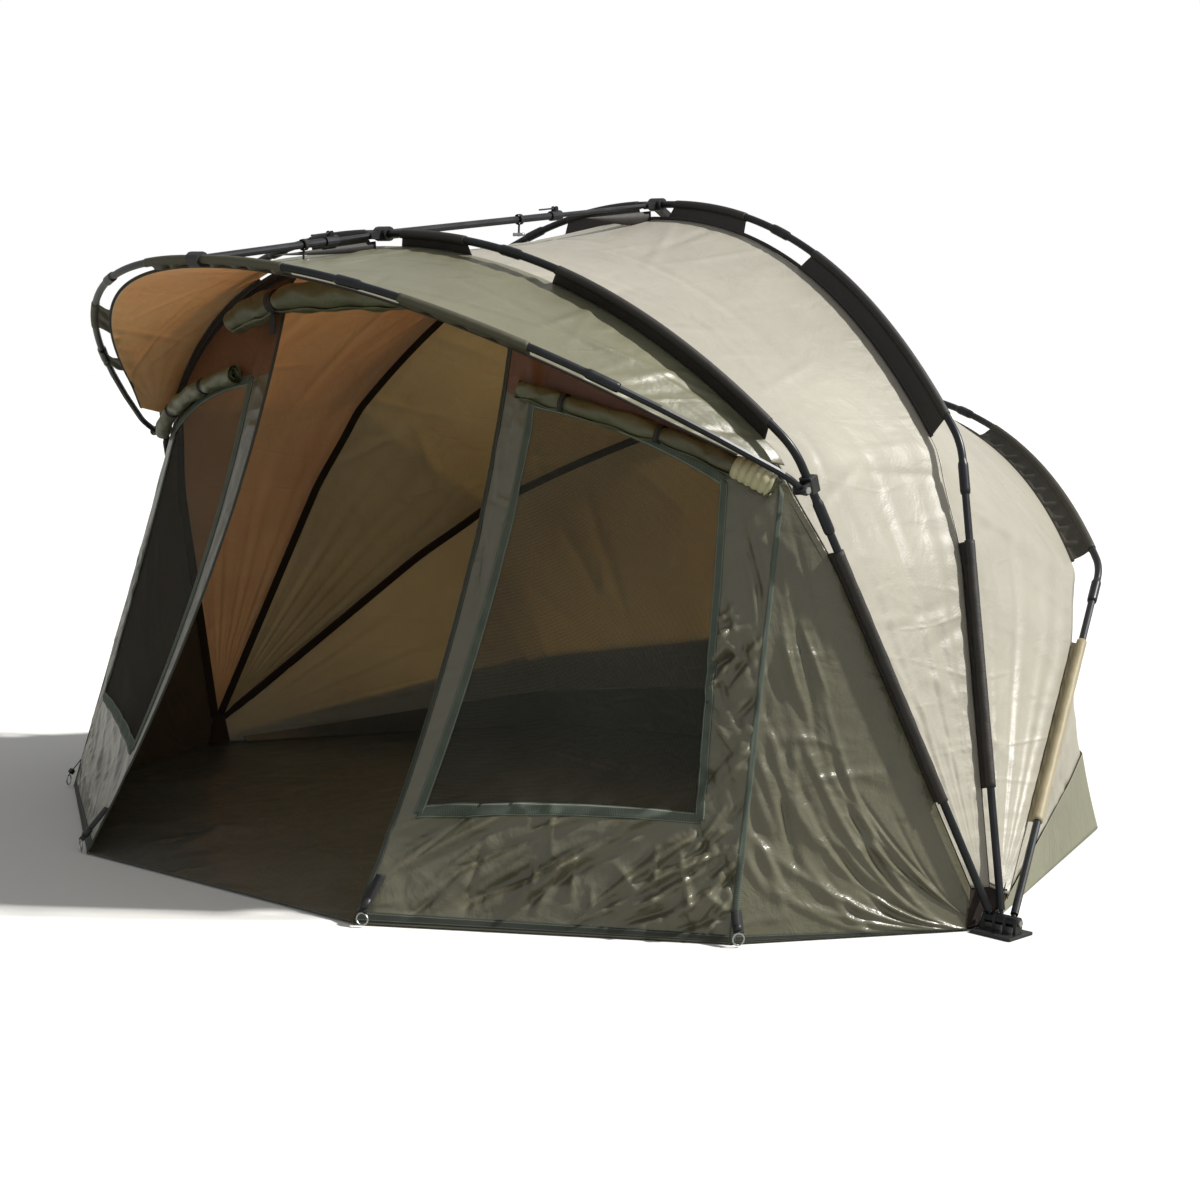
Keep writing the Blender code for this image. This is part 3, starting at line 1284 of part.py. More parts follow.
def main():
    """Make every sub-part."""
    make_bodies()
    make_groundsheet()
    ribs = (
        ("front", FRONT, FRONT_JOINT_RISE, FRONT_SLEEVE_DROP, FRONT_FERRULE_X, FRONT_CUTOUT_INNER_X,
         FRONT_CUTOUT_OUTER_X),
        ("mid", MID, MID_JOINT_RISE, MID_SLEEVE_DROP, MID_FERRULE_X, MID_CUTOUT_INNER_X, MID_CUTOUT_OUTER_X),
        ("rear", REAR, REAR_JOINT_RISE, REAR_SLEEVE_DROP, REAR_FERRULE_X, REAR_CUTOUT_INNER_X,
         REAR_CUTOUT_OUTER_X),
    )
    for tag, rib, joint_rise, sleeve_drop, ferrule_x, inner_x, outer_x in ribs:
        owner = f"{tag}_rib"
        for side, hand in ((1, "R"), (-1, "L")):
            make_leg(f"{tag}_leg_{hand}", owner, rib, side, joint_rise)
            make_sleeve(f"{tag}_sleeve_{hand}", owner, rib, side, joint_rise - sleeve_drop)
        make_arch(f"{tag}_arch", owner, rib, joint_rise, POLE_RADIUS, ferrule_x)
        web_end = rib.elbow.x - ELBOW_BEND
        make_web(
            f"{tag}_web", owner, rib, "web", (ARCH_SEAM_DEPTH, CROWN_SEAM_DEPTH), WEB_STRIP,
            inner_x, outer_x, web_end, POLE_RADIUS,
        )
    make_arch("hood_arch", "hood_rib", HOOD, HOOD_JOINT_RISE, HOOD_POLE_RADIUS, HOOD_FERRULE_X)
    make_web(
        "hood_web", "hood_rib", HOOD, "roll", (HOOD_SEAM_DEPTH, HOOD_CROWN_DEPTH), HOOD_WEB_STRIP,
        HOOD_CUTOUT_INNER_X, HOOD_CUTOUT_OUTER_X, HOOD_WEB_END_X, HOOD_POLE_RADIUS,
    )
    make_canopies()
    make_rear_panel()
    for side, hand in ((1, "R"), (-1, "L")):
        make_hub(side, hand)
        make_knuckle(side, hand)
        make_hood_arm(side, hand)
        wall = make_wall(side, hand)
        make_window_roll(side, hand)
        make_ring(f"corner_ring_{hand}", side, 1.0, wall)
        make_ring(f"door_ring_{hand}", side, 2.0 - DOOR_RING_INSET_SHARE, wall)
    make_door_roll()
    make_connector("rear_connector", "rear_rib", REAR, POLE_RADIUS, ahead=MID)
    make_connector("mid_connector", "mid_rib", MID, POLE_RADIUS, ahead=FRONT, behind=REAR)
    make_connector("front_connector", "front_rib", FRONT, POLE_RADIUS, ahead=HOOD, behind=MID)
    make_connector("hood_connector", "hood_rib", HOOD, HOOD_POLE_RADIUS, behind=FRONT)
    for tag, back, front, exposed in BARS:
        make_bar(tag, back, front, exposed)


main()
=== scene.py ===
"""The looks of a folding dome bivvy tent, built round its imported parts.

Metres, +Z up, the front faces -Y and X runs from hub to hub. Every rib is worked out as (x, rise)
in a plane tilted about its axis, and every cloth is a grid between two seams of those ribs.
"""

import json
import math

import bpy
import numpy as np
from mathutils import Matrix, Vector


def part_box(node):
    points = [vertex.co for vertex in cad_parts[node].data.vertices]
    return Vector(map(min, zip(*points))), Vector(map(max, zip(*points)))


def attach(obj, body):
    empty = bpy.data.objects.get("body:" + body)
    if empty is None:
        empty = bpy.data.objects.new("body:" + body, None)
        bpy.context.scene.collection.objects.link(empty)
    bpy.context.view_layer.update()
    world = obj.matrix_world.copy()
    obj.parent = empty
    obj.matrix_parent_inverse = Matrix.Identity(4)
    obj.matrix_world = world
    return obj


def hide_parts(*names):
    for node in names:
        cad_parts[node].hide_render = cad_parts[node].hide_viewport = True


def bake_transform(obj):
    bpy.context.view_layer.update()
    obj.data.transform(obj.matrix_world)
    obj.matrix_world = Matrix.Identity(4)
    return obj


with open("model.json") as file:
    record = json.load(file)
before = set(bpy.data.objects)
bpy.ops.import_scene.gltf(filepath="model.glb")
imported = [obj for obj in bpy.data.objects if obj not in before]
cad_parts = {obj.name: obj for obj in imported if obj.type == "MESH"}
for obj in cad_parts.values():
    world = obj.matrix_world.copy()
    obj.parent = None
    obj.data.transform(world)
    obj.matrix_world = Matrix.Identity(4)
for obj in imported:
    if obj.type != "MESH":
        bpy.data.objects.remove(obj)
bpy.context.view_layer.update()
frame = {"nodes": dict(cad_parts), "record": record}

# The part's own driving sizes, in metres, as its source has them. Rows of REAR_HEM are (share, x, y),
# and feet are (x, y, how much further back on the right and forward on the left)
HUB_HALF_SPAN = 1.525
HUB_HEIGHT = 0.035
LANE = 0.0288
CROWN_STRAIGHT_HALF = 0.035
POLE = 0.010
HOOD_POLE = 0.009
ELBOW_BEND = 0.045
HOOD_BEND = 0.030
KNUCKLE_RISE = 1.091
KNUCKLE_OFFSET = 0.032
SEAM_START = 0.032
HOOD_START = 0.11
CANOPY_SAG = 0.030
HOOD_SAG = 0.020
FULL_SAG_SPAN = 1.0
HEM_HEIGHT = 0.0042
HUB_CORNER = (1.458, 0.045)
REAR_HEM = ((0.0, 1.458, 0.045), (0.42, 1.080, 1.190), (0.72, 0.500, 1.460), (1.0, 0.0, 1.500))
CORNER_FOOT = (1.175, -0.655, 0.085)
DOOR_FOOT = (0.470, -1.155, 0.038)
DOOR_SHIFT = 0.025
DOOR_HEAD_X = 0.415
DOOR_BOW = 0.085
CORNER_HEAD_RISE = 1.1097
WINDOW_HEAD_RUNS = (0.21, 0.88)
WINDOW_FOOT_RUNS = (0.135, 0.93)
WINDOW_HEAD_DROPS = (0.125, 0.185)
WINDOW_FOOT_DROPS = (0.760, 0.835)
WALL_HEIGHT = 1.12
WING_LENGTH = 0.75
PANEL_LENGTH = 0.90
LEG_SLEEVE_FOOT = 0.300
LEG_SLEEVE_TOPS = {"front": 0.927, "mid": 0.885, "rear": 0.900}
WEB_CLOTH = 0.002
CLOTH = 0.0012
THIN_SHEET = 0.001
WINDOW_TAPE, CORNER_TAPE, HEM_TAPE, DOOR_BINDING = 0.024, 0.018, 0.016, 0.014
EDGE_LIFT = 0.0018

# Grid of a front wall: columns of the wing, of the strip beside the window, of the window and of
# the strip beside the door; rows above, beside and below the window
WING_COLUMNS, STRIP_COLUMNS, WINDOW_COLUMNS, DOOR_COLUMNS = 94, 28, 120, 15
HEAD_ROWS, WINDOW_ROWS, FOOT_ROWS = 20, 100, 70
SEAM_COLUMNS = 220
ROOF_ROWS = 84
HOOD_ROWS = 60
REAR_ROWS = 80

# Camera fitted to the photograph (yaw, pitch and roll in degrees, millimetres), and the sun's side
CAMERA_PLACE = (4.274, -4.424, 1.362)
CAMERA_TURN = (-42.6, -6.74, 2.02)
CAMERA_LENS = 66.83
TO_SUN = (0.56, 0.45, 0.71)

UP = np.array([0.0, 0.0, 1.0])
HUB_LINE = np.array([0.0, 0.0, HUB_HEIGHT])
SIDES = ((1, "R"), (-1, "L"))
RNG = np.random.default_rng(20)


def srgb(code, alpha=1.0):
    """A hex colour as linear light: each channel c is c/12.92, or ((c + 0.055)/1.055)^2.4."""
    made = []
    for i in (0, 2, 4):
        c = int(code[i:i + 2], 16) / 255
        made.append(c / 12.92 if c <= 0.04045 else ((c + 0.055) / 1.055) ** 2.4)
    return (*made, alpha)


def lerp(a, b, t):
    """a at t = 0, b at t = 1, straight between them."""
    return a + (b - a) * t


def smooth(x):
    """3x^2 - 2x^3 between 0 and 1, flat outside."""
    x = np.clip(x, 0.0, 1.0)
    return x * x * (3 - 2 * x)


def unit(v):
    """Vectors over their lengths."""
    return v / np.maximum(np.linalg.norm(v, axis=-1, keepdims=True), 1e-12)


def bezier(a, b, c, t):
    """(1-t)^2 a + 2t(1-t) b + t^2 c for every t."""
    a, b, c = (np.asarray(p, float) for p in (a, b, c))
    t = np.atleast_1d(t)[:, None]
    return (1 - t) ** 2 * a + 2 * t * (1 - t) * b + t * t * c


def running(points):
    """The running length along a line of points."""
    steps = np.linalg.norm(np.diff(points, axis=0), axis=1)
    return np.concatenate([[0.0], np.cumsum(steps)])


def at(points, where, wanted):
    """The line's points where its coordinate `where` has the wanted values."""
    wanted = np.asarray(wanted, float)
    return np.stack([np.interp(wanted, where, points[:, k]) for k in range(points.shape[1])], -1)


def resample(points, shares):
    """Points at shares of a line's length."""
    lengths = running(points)
    return at(points, lengths, np.asarray(shares) * lengths[-1])


def mirrored(half):
    """The whole outline from its right half, which ends on the centre line."""
    return np.vstack([half, half[-2::-1] * [-1.0, 1.0]])


class Rib:
    """A rib: straight leg, bent elbow, and an arch that is one quadratic curve to the crown."""

    def __init__(self, axis, tilt, foot_x, elbow, crown, lean, bend, radius):
        self.axis = np.array([0.0, *axis])
        tilt = math.radians(tilt)
        self.up = np.array([0.0, math.sin(tilt), math.cos(tilt)])
        self.normal = np.array([0.0, -math.cos(tilt), math.sin(tilt)])
        self.radius = radius
        self.elbow = np.array(elbow)
        foot = np.array([foot_x, 0.0])
        shoulder = np.array([elbow[0] - (crown - elbow[1]) * math.tan(math.radians(lean)), crown])
        edge = np.array([CROWN_STRAIGHT_HALF, crown])
        entry = bend / (2 * np.linalg.norm(shoulder - self.elbow))
        start = self.elbow - unit(self.elbow - foot) * bend
        arch_start = bezier(self.elbow, shoulder, edge, entry)[0]
        self.half = np.vstack([
            foot + (start - foot) * np.linspace(0, 1, 60)[:-1, None],
            bezier(start, self.elbow, arch_start, np.linspace(0, 1, 14)[:-1]),
            bezier(self.elbow, shoulder, edge, np.linspace(entry, 1, 110)),
            [[0.0, crown]],
        ])
        self.outline = mirrored(self.half)
        self.lengths = running(self.outline)
        inward = self.inward(self.half)
        self.inward_line = np.vstack([inward, (inward[:-1] * [-1.0, 1.0])[::-1]])

    def along(self, s):
        """Points of the whole outline at running lengths s, and the inward directions there."""
        return at(self.outline, self.lengths, s), unit(at(self.inward_line, self.lengths, s))

    def inward(self, points):
        """The direction from the pole to the tent's inside, square to the outline."""
        along = unit(np.gradient(points, axis=0))
        return np.stack([-along[:, 1], along[:, 0]], -1)

    def depths(self, points, arch, leg, crown, start, ramp):
        """Seam depth: from crown to arch with |x|, drawn in to leg below the ramp."""
        depth = lerp(crown, arch, np.minimum(np.abs(points[:, 0]) / self.elbow[0], 1.0))
        return lerp(leg, depth, smooth((points[:, 1] - start) / ramp))

    def seam(self, *how):
        """The half outline moved inward by its depths."""
        return self.half + self.inward(self.half) * self.depths(self.half, *how)[:, None]

    def place(self, flat, normal=0.0):
        """(x, rise) of the rib's plane in the world, moved forward by normal."""
        flat = np.asarray(flat, float)
        side = flat[..., :1] * np.array([1.0, 0.0, 0.0])
        return self.axis + side + flat[..., 1:2] * self.up + np.asarray(normal)[..., None] * self.normal


def hub_rib(tilt, lane, elbow, crown, lean):
    """A rib that turns in one of the three lanes of the hubs."""
    foot = HUB_HALF_SPAN + lane * LANE
    return Rib((0.0, HUB_HEIGHT), tilt, foot, elbow, crown, lean, ELBOW_BEND, POLE)


FRONT = hub_rib(-21.9, -1, (1.189, 1.174), 1.687, 42)
MID = hub_rib(13.4, 0, (1.167, 1.126), 1.754, 40)
REAR = hub_rib(50.0, 1, (1.209, 1.174), 1.849, 40)
KNUCKLE_X = float(np.interp(KNUCKLE_RISE, FRONT.half[:, 1], FRONT.half[:, 0]))
HOOD_AXIS = FRONT.place([0.0, KNUCKLE_RISE], KNUCKLE_OFFSET)
HOOD = Rib(HOOD_AXIS[1:], -58.5, KNUCKLE_X, (KNUCKLE_X, 0.055), 0.905, 30, HOOD_BEND, HOOD_POLE)

# Seam depths: arch, leg, crown, start and length of the ramp between leg and arch
ROOF = {
    rib: (0.066, 0.026, 0.045, rib.elbow[1] * 0.72, rib.elbow[1] * 0.28) for rib in (FRONT, MID, REAR)
}
JOIN = (0.046, 0.046, 0.032, 0.0, 1.174)
BRIM = (0.060, 0.018, 0.031, 0.0, 0.350)


# --- materials -------------------------------------------------------------

class Nodes:
    """Short calls that add nodes to one tree. Each gives the socket that the next one takes."""

    def __init__(self, owner):
        owner.use_nodes = True
        self.tree = owner.node_tree
        place = self.add("ShaderNodeTexCoord").outputs
        self.object, self.uv, self.direction = place["Object"], place["UV"], place["Generated"]

    def add(self, kind, inputs=None, **settings):
        """One node with its own settings and its sockets' values or sources."""
        made = self.tree.nodes.new(kind)
        for name, value in settings.items():
            setattr(made, name, value)
        self.feed(made, inputs or {})
        return made

    def feed(self, node, inputs):
        """Link a node's sockets to others, or give them values."""
        for key, value in inputs.items():
            if isinstance(value, bpy.types.NodeSocket):
                self.tree.links.new(value, node.inputs[key])
            else:
                node.inputs[key].default_value = value

    def maths(self, how, *values):
        """Arithmetic on one to three values."""
        return self.add("ShaderNodeMath", dict(enumerate(values)), operation=how).outputs[0]

    def noise(self, where, scale, detail=2.0, rough=0.5, warp=0.0, **settings):
        """Clouds between 0 and 1, about scale of them to the metre."""
        inputs = {"Vector": where, "Scale": scale, "Detail": detail, "Roughness": rough, "Distortion": warp}
        return self.add("ShaderNodeTexNoise", inputs, **settings).outputs["Fac"]

    def wave(self, where, period, way, warp):
        """Sine bands along an axis. At scale s they are 0.314 / s metres apart."""
        inputs = {"Vector": where, "Scale": 0.314 / period, "Distortion": warp}
        return self.add("ShaderNodeTexWave", inputs, bands_direction=way).outputs["Fac"]

    def ranged(self, value, low, high, new_low=0.0, new_high=1.0):
        """A value from low to high, stretched from new_low to new_high."""
        inputs = {"Value": value, "From Min": low, "From Max": high, "To Min": new_low, "To Max": new_high}
        return self.add("ShaderNodeMapRange", inputs).outputs[0]

    def coloured(self, factor, *stops):
        """A colour ramp through two (place, hex) stops."""
        ramp = self.add("ShaderNodeValToRGB", {"Fac": factor})
        for element, (where, code) in zip(ramp.color_ramp.elements, stops):
            element.position = where
            element.color = srgb(code)
        return ramp.outputs["Color"]

    def bump(self, height, strength, distance, **normal):
        """A normal tilted by the slope of a height, of which 1 stands for distance metres."""
        inputs = {"Height": height, "Strength": strength, "Distance": distance, **normal}
        return self.add("ShaderNodeBump", inputs).outputs[0]


def new_material(name):
    """A material, its nodes and its Principled shader."""
    made = bpy.data.materials.new(name)
    nodes = Nodes(made)
    return made, nodes, nodes.tree.nodes["Principled BSDF"]


def polyester(name, light, dark, roughness, crumple=0.35, weave=0.12, packed=0.0, coat=0.0, through=0.0,
              sharp=0.0):
    """Woven polyester with a water-repellent coating.

    The eye sees faint clouding from handling, straight packing creases, soft crumples and a plain
    weave. Real threads stand 0.4 mm apart, and are drawn at 3 mm so that a close view shows them.
    packed is the height of the packing creases, sharp that of the fine crumpled ridges which
    catch the light, and through the share of the sun that shines through from the other side.
    """
    made, nodes, shader = new_material(name)
    where = nodes.object
    slanted = {"Vector": where, "Rotation": (0.5, 0.7, 0.3), "Scale": (1.0, 0.35, 1.6)}
    slant = nodes.add("ShaderNodeMapping", slanted).outputs[0]
    cells = nodes.add("ShaderNodeTexVoronoi", {"Vector": slant, "Scale": 5.0}, feature="DISTANCE_TO_EDGE")
    line = nodes.ranged(cells.outputs["Distance"], 0.0, 0.05, 1.0, 0.0)
    often = nodes.ranged(nodes.noise(where, 2.6), 0.45, 0.7)
    faint = nodes.maths("MULTIPLY", nodes.maths("MULTIPLY", line, often), packed)
    crease = nodes.maths("ADD", faint, nodes.noise(where, 11.0, 5.0, 0.55, 0.5))
    if sharp:
        ridged = nodes.noise(slant, 9.0, 2.5, 0.4, 0.8, noise_type="RIDGED_MULTIFRACTAL", normalize=True)
        crease = nodes.maths("ADD", crease, nodes.maths("MULTIPLY", ridged, sharp))
    threads = nodes.maths("ADD", *(nodes.wave(where, 0.00314, way, 0.4) for way in "XZ"))
    nodes.feed(shader, {
        "Base Color": nodes.coloured(nodes.noise(where, 2.2, 4.0, 0.6), (0.3, dark), (0.7, light)),
        "Normal": nodes.bump(crease, crumple, 0.012, Normal=nodes.bump(threads, weave, 0.0004)),
        "Roughness": roughness, "Coat Weight": coat, "Coat Roughness": 0.3,
        "Subsurface Weight": through, "Subsurface Radius": (1.0, 0.8, 0.6), "Subsurface Scale": 0.004,
    })
    return made


def webbing(name, light, dark, thread, row):
    """Woven tape sewn down near both edges.

    The eye sees ribs across the band, 2 mm apart and drawn at 4 mm, and two rows of paler stitches
    3 mm long, one every 4.5 mm, row metres from the middle of the band.
    """
    made, nodes, shader = new_material(name)
    ribs = nodes.wave(nodes.uv, 0.004, "X", 0.6)
    stained = nodes.maths("MULTIPLY", ribs, nodes.noise(nodes.object, 24.0, 3.0))
    cloth = nodes.coloured(stained, (0.1, dark), (0.6, light))
    split = nodes.add("ShaderNodeSeparateXYZ", {0: nodes.uv}).outputs
    near = nodes.maths("COMPARE", nodes.maths("ABSOLUTE", split[1]), row, 0.0007)
    beat = nodes.maths("SINE", nodes.maths("MULTIPLY", split[0], 2 * math.pi / 0.0045))
    stitch = nodes.maths("MULTIPLY", near, nodes.maths("GREATER_THAN", beat, -0.4))
    sewn = nodes.add("ShaderNodeMix", {0: stitch, 6: cloth, 7: srgb(thread)}, data_type="RGBA")
    height = nodes.maths("ADD", ribs, stitch)
    nodes.feed(shader, {
        "Base Color": sewn.outputs[2], "Normal": nodes.bump(height, 0.5, 0.0006), "Roughness": 0.78,
    })
    return made


def powder_coat(name, light, dark, roughness, metallic=0.0):
    """Powder-coated or moulded surfaces: a fine orange-peel texture of 1 mm and dusty clouding."""
    made, nodes, shader = new_material(name)
    dust = nodes.noise(nodes.object, 14.0, 5.0, 0.65)
    nodes.feed(shader, {
        "Base Color": nodes.coloured(dust, (0.35, dark), (0.75, light)),
        "Normal": nodes.bump(nodes.noise(nodes.object, 900.0), 0.08, 0.0004),
        "Roughness": nodes.ranged(dust, 0.0, 1.0, roughness - 0.08, roughness + 0.12),
        "Metallic": metallic,
    })
    return made


def mesh_fabric(name):
    """Knitted insect mesh: black threads 1.2 mm apart, drawn at 3 mm, with open air between."""
    made, nodes, shader = new_material(name)
    threads = nodes.maths("MAXIMUM", *(nodes.wave(nodes.uv, 0.003, way, 0.0) for way in "XY"))
    nodes.feed(shader, {
        "Base Color": nodes.coloured(nodes.noise(nodes.object, 4.0), (0.3, "2a2b27"), (0.7, "3d3e36")),
        "Alpha": nodes.ranged(threads, 0.0, 1.0, 0.10, 0.44), "Roughness": 0.8,
    })
    return made


CANOPY = polyester("coated_polyester_roof", "a9a598", "99968a", 0.46,
                   crumple=0.42, packed=0.25, coat=0.10, sharp=0.6)
CANOPY_LINING = polyester("polyester_lining_rust", "dcc3ac", "cab099", 0.72,
                          crumple=0.5, packed=0.4, through=1.0)
REAR_LINING = polyester("polyester_lining_olive", "bfbcac", "aeab9a", 0.70,
                        crumple=0.5, packed=0.4, through=1.0)
HOOD_CLOTH = polyester("coated_polyester_hood", "7a7963", "6a6955", 0.43,
                       crumple=0.42, packed=0.3, coat=0.16, sharp=0.7)
HOOD_LINING = polyester("polyester_lining_orange", "dcbd94", "cdab80", 0.70,
                        crumple=0.35, packed=0.2, through=1.0)
WALL = polyester("coated_polyester_wall", "646250", "52503f", 0.30, crumple=0.8, coat=0.32, sharp=1.1)
# Painted orange light: this rust colour stands for the glow that the sun through the hood throws onto the
# top of the front walls, which are the same cloth as below.
PAINTED_HOOD_GLOW = polyester("painted_hood_glow_facing", "6e4a34", "573826", 0.45, crumple=0.5, through=0.3)
WALL_LINING = polyester("polyester_lining_grey", "5d5546", "4c463a", 0.6, crumple=0.4, through=0.4)
ROLL_CLOTH = polyester("rolled_polyester", "63664a", "43442f", 0.45, crumple=0.8, coat=0.15, sharp=1.5)
# Painted sunlight: the pale colour stands for the olive roll cloth where the sun falls on its gathered end.
PAINTED_SUNLIT_ROLL_END = polyester("painted_sunlit_roll_end", "c9c4a4", "a9a583", 0.6, crumple=0.6)
WEB = polyester("woven_web_polyester", "2a2622", "1b1816", 0.62, crumple=0.3, weave=0.3)
REAR_WEB = polyester("rear_web_polyester", "3b382d", "26231d", 0.6, crumple=0.5, weave=0.3)
PALE_SLEEVE = polyester("pale_sleeve_polyester", "a59a7d", "8b8064", 0.55, crumple=0.4)
SKIRT = polyester("olive_skirt_polyester", "84846f", "737361", 0.48, crumple=0.5, coat=0.12)
GROUND_PVC = polyester("coated_pvc_sheet", "6b7069", "575c56", 0.33, crumple=0.9, coat=0.35, sharp=1.0)
TAPE = webbing("green_binding_tape", "5d675c", "3a433b", "8d9988", 0.0095)
EDGE_TAPE = webbing("dark_binding_tape", "363b33", "232722", "5f675a", 0.0050)
BLACK_TAPE = webbing("black_webbing", "26282a", "111214", "44474a", 0.0090)
HOOD_SLEEVE = polyester("olive_sleeve_polyester", "4c4a38", "383626", 0.6, crumple=0.5, weave=0.3)
# On the inner bands this dark colour is partly painted shade, where the web and pole outside keep the light
# that comes through the roof from the inside.
SEAM_BAND_AND_PAINTED_SHADE = polyester("dark_seam_band_and_painted_shade", "2c2118", "1d1611", 0.75)
POLE_COAT = powder_coat("powder_coated_aluminium", "20242b", "101216", 0.34, metallic=0.35)
NYLON = powder_coat("moulded_nylon", "26282a", "151617", 0.45)
ZINC = powder_coat("zinc_plated_steel", "c9cbcc", "a7a9ab", 0.32, metallic=1.0)
MESH = mesh_fabric("knitted_insect_mesh")


# --- meshes ----------------------------------------------------------------

def surface(name, grid, finish, uv=None, keep=None, wrap=False, caps=False, lining=None, thickness=0.0):
    """A mesh over a grid of points; wrap joins its last column to its first, caps close its ends, keep
    chooses its faces, and lining is the material of a thick sheet's other side."""
    rows, cols = grid.shape[:2]
    i, j = np.meshgrid(np.arange(rows - 1), np.arange(cols if wrap else cols - 1), indexing="ij")
    after = (j + 1) % cols
    faces = np.stack([i * cols + j, i * cols + after, (i + 1) * cols + after, (i + 1) * cols + j], -1)
    faces = faces[keep] if keep is not None else faces.reshape(-1, 4)
    used, index = np.unique(faces, return_inverse=True)
    faces = index.reshape(-1, 4)
    points = grid.reshape(-1, 3)[used]
    polygons = faces.tolist()
    if caps:
        polygons += [list(range(cols))[::-1], list(range((rows - 1) * cols, rows * cols))]
    mesh = bpy.data.meshes.new(name)
    mesh.from_pydata(points.tolist(), [], polygons)
    if uv is None:
        across, down = running(grid[rows // 2]), running(grid[:, cols // 2])
        uv = np.stack(np.broadcast_arrays(down[:, None], across[None, :]), -1)
    layer = mesh.uv_layers.new(name="UVMap")
    corner = np.zeros(len(mesh.loops), np.int32)
    mesh.loops.foreach_get("vertex_index", corner)
    layer.data.foreach_set("uv", uv.reshape(-1, 2)[used][corner].astype(np.float32).ravel())
    mesh.shade_smooth()
    mesh.materials.append(finish)
    made = bpy.data.objects.new(name, mesh)
    bpy.context.scene.collection.objects.link(made)
    if thickness:
        if lining is not None:
            mesh.materials.append(lining)
        shell = made.modifiers.new("thickness", "SOLIDIFY")
        shell.thickness = thickness
        shell.offset = 0.0
        shell.material_offset = 1 if lining is not None else 0
    return made


def joined(name, pieces):
    """Several meshes as one object, with their materials kept apart."""
    first = pieces[0]
    with bpy.context.temp_override(active_object=first, selected_editable_objects=pieces, object=first):
        bpy.ops.object.join()
    first.name = name
    first.data.name = name
    return first


def baked(made):
    """An object with its modifiers baked into its mesh."""
    view = bpy.context.evaluated_depsgraph_get()
    mesh = bpy.data.meshes.new_from_object(made.evaluated_get(view))
    made.modifiers.clear()
    made.data = mesh
    return made


def normals(grid, centre):
    """Unit normals of a grid, pointing away from a centre."""
    across = unit(np.cross(np.gradient(grid, axis=0), np.gradient(grid, axis=1)))
    way = np.sign(((grid - centre) * across).sum(-1, keepdims=True).mean())
    return across * way


def facing_in(grid, centre):
    """Whether a grid's faces look towards a centre, by the mean of its normals."""
    across = np.cross(np.gradient(grid, axis=1), np.gradient(grid, axis=0))
    return ((grid - centre) * unit(across)).sum(-1).mean() < 0


def creases(u, v, lines):
    """Soft ridges. Each line runs from (u0, v0) to (u1, v1), height h and half width w: across it
    the ridge falls off as exp(-(d/w)^2), and along it as sin(pi t)^0.7."""
    u0, v0, u1, v1, height, width = np.asarray(lines, float).T
    du, dv = u1 - u0, v1 - v0
    length = np.hypot(du, dv)
    t = ((u[..., None] - u0) * du + (v[..., None] - v0) * dv) / length ** 2
    off = ((u[..., None] - u0) * dv - (v[..., None] - v0) * du) / length
    along = np.sin(np.pi * np.clip(t, 0, 1)) ** 0.7
    return (height * np.exp(-(off / width) ** 2) * along).sum(-1)


def scattered(count, u_range, v_range, length, angle, height, width):
    """Random crease lines: middle in a box, length and angle from ranges, either way up."""
    u = RNG.uniform(*u_range, count)
    v = RNG.uniform(*v_range, count)
    half = RNG.uniform(*length, count) / 2
    turn = np.radians(RNG.uniform(*angle, count))
    sign = np.where(RNG.random(count) < 0.6, 1.0, -1.0)
    du, dv = half * np.cos(turn), half * np.sin(turn)
    heights, widths = sign * RNG.uniform(*height, count), RNG.uniform(*width, count)
    return np.stack([u - du, v - dv, u + du, v + dv, heights, widths], -1)


def fan(u, v, apex, start, count, length, height, spread):
    """Folds that open out of a point: height * sin(count * angle + spread), which grows until start
    and is gone at length."""
    away = np.hypot(u - apex[0], v - apex[1])
    angle = np.arctan2(v - apex[1], u - apex[0])
    return height * np.sin(count * angle + spread) * smooth(away / start) * (1 - smooth(away / length))


def crosswise(path, up=UP):
    """Along a path, and the two directions square to it, the first nearest to up."""
    along = unit(np.gradient(path, axis=0))
    side = unit(np.cross(along, up))
    return along, np.cross(side, along), side


def pole_grid(path, radius, up, sides=20):
    """A round bar: circles of the given radii square to the path."""
    _, top, side = crosswise(path, up)
    turn = np.linspace(0, 2 * np.pi, sides, endpoint=False)
    ring = np.cos(turn)[None, :, None] * top[:, None] + np.sin(turn)[None, :, None] * side[:, None]
    return path[:, None] + np.broadcast_to(radius, (len(path),))[:, None, None] * ring


def riding(made, body, slot, *nodes):
    """Ride on a body and stand for CAD nodes, which are hidden. slot is not used."""
    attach(made, body)
    if nodes:
        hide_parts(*nodes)
    return made


def blended(made, slot, low, high, weights, *nodes):
    """Stand for CAD nodes, which are hidden, and bake the object's place into its mesh. slot, low, high
    and weights (0 at low, 1 at high, by the mesh's own points) are not used."""
    if nodes:
        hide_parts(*nodes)
    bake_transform(made)
    return made


def cloth_size(grid, keep=None):
    """A grid's greatest width and length, and its area: half of |ab x ac| + |ac x ad| of each face."""
    a, b, c, d = grid[:-1, :-1], grid[:-1, 1:], grid[1:, 1:], grid[1:, :-1]
    area = sum(np.linalg.norm(np.cross(p - a, q - a), axis=-1) for p, q in ((b, c), (c, d))) / 2
    if keep is not None:
        area = area[keep]
    width = np.linalg.norm(np.diff(grid, axis=0), axis=-1).sum(0).max()
    length = np.linalg.norm(np.diff(grid, axis=1), axis=-1).sum(1).max()
    return float(width), float(length), float(area.sum())


def sheet(made, grid, keep=None):
    """Work out the sizes of a sheet of cloth from its grid before it wrinkled: a sheet that narrows
    gets the width that its area needs at 0.32 of a full rectangle. The sizes are not passed on."""
    width, length, area = cloth_size(grid, keep)
    width = min(width, area / (0.32 * length))
    return made


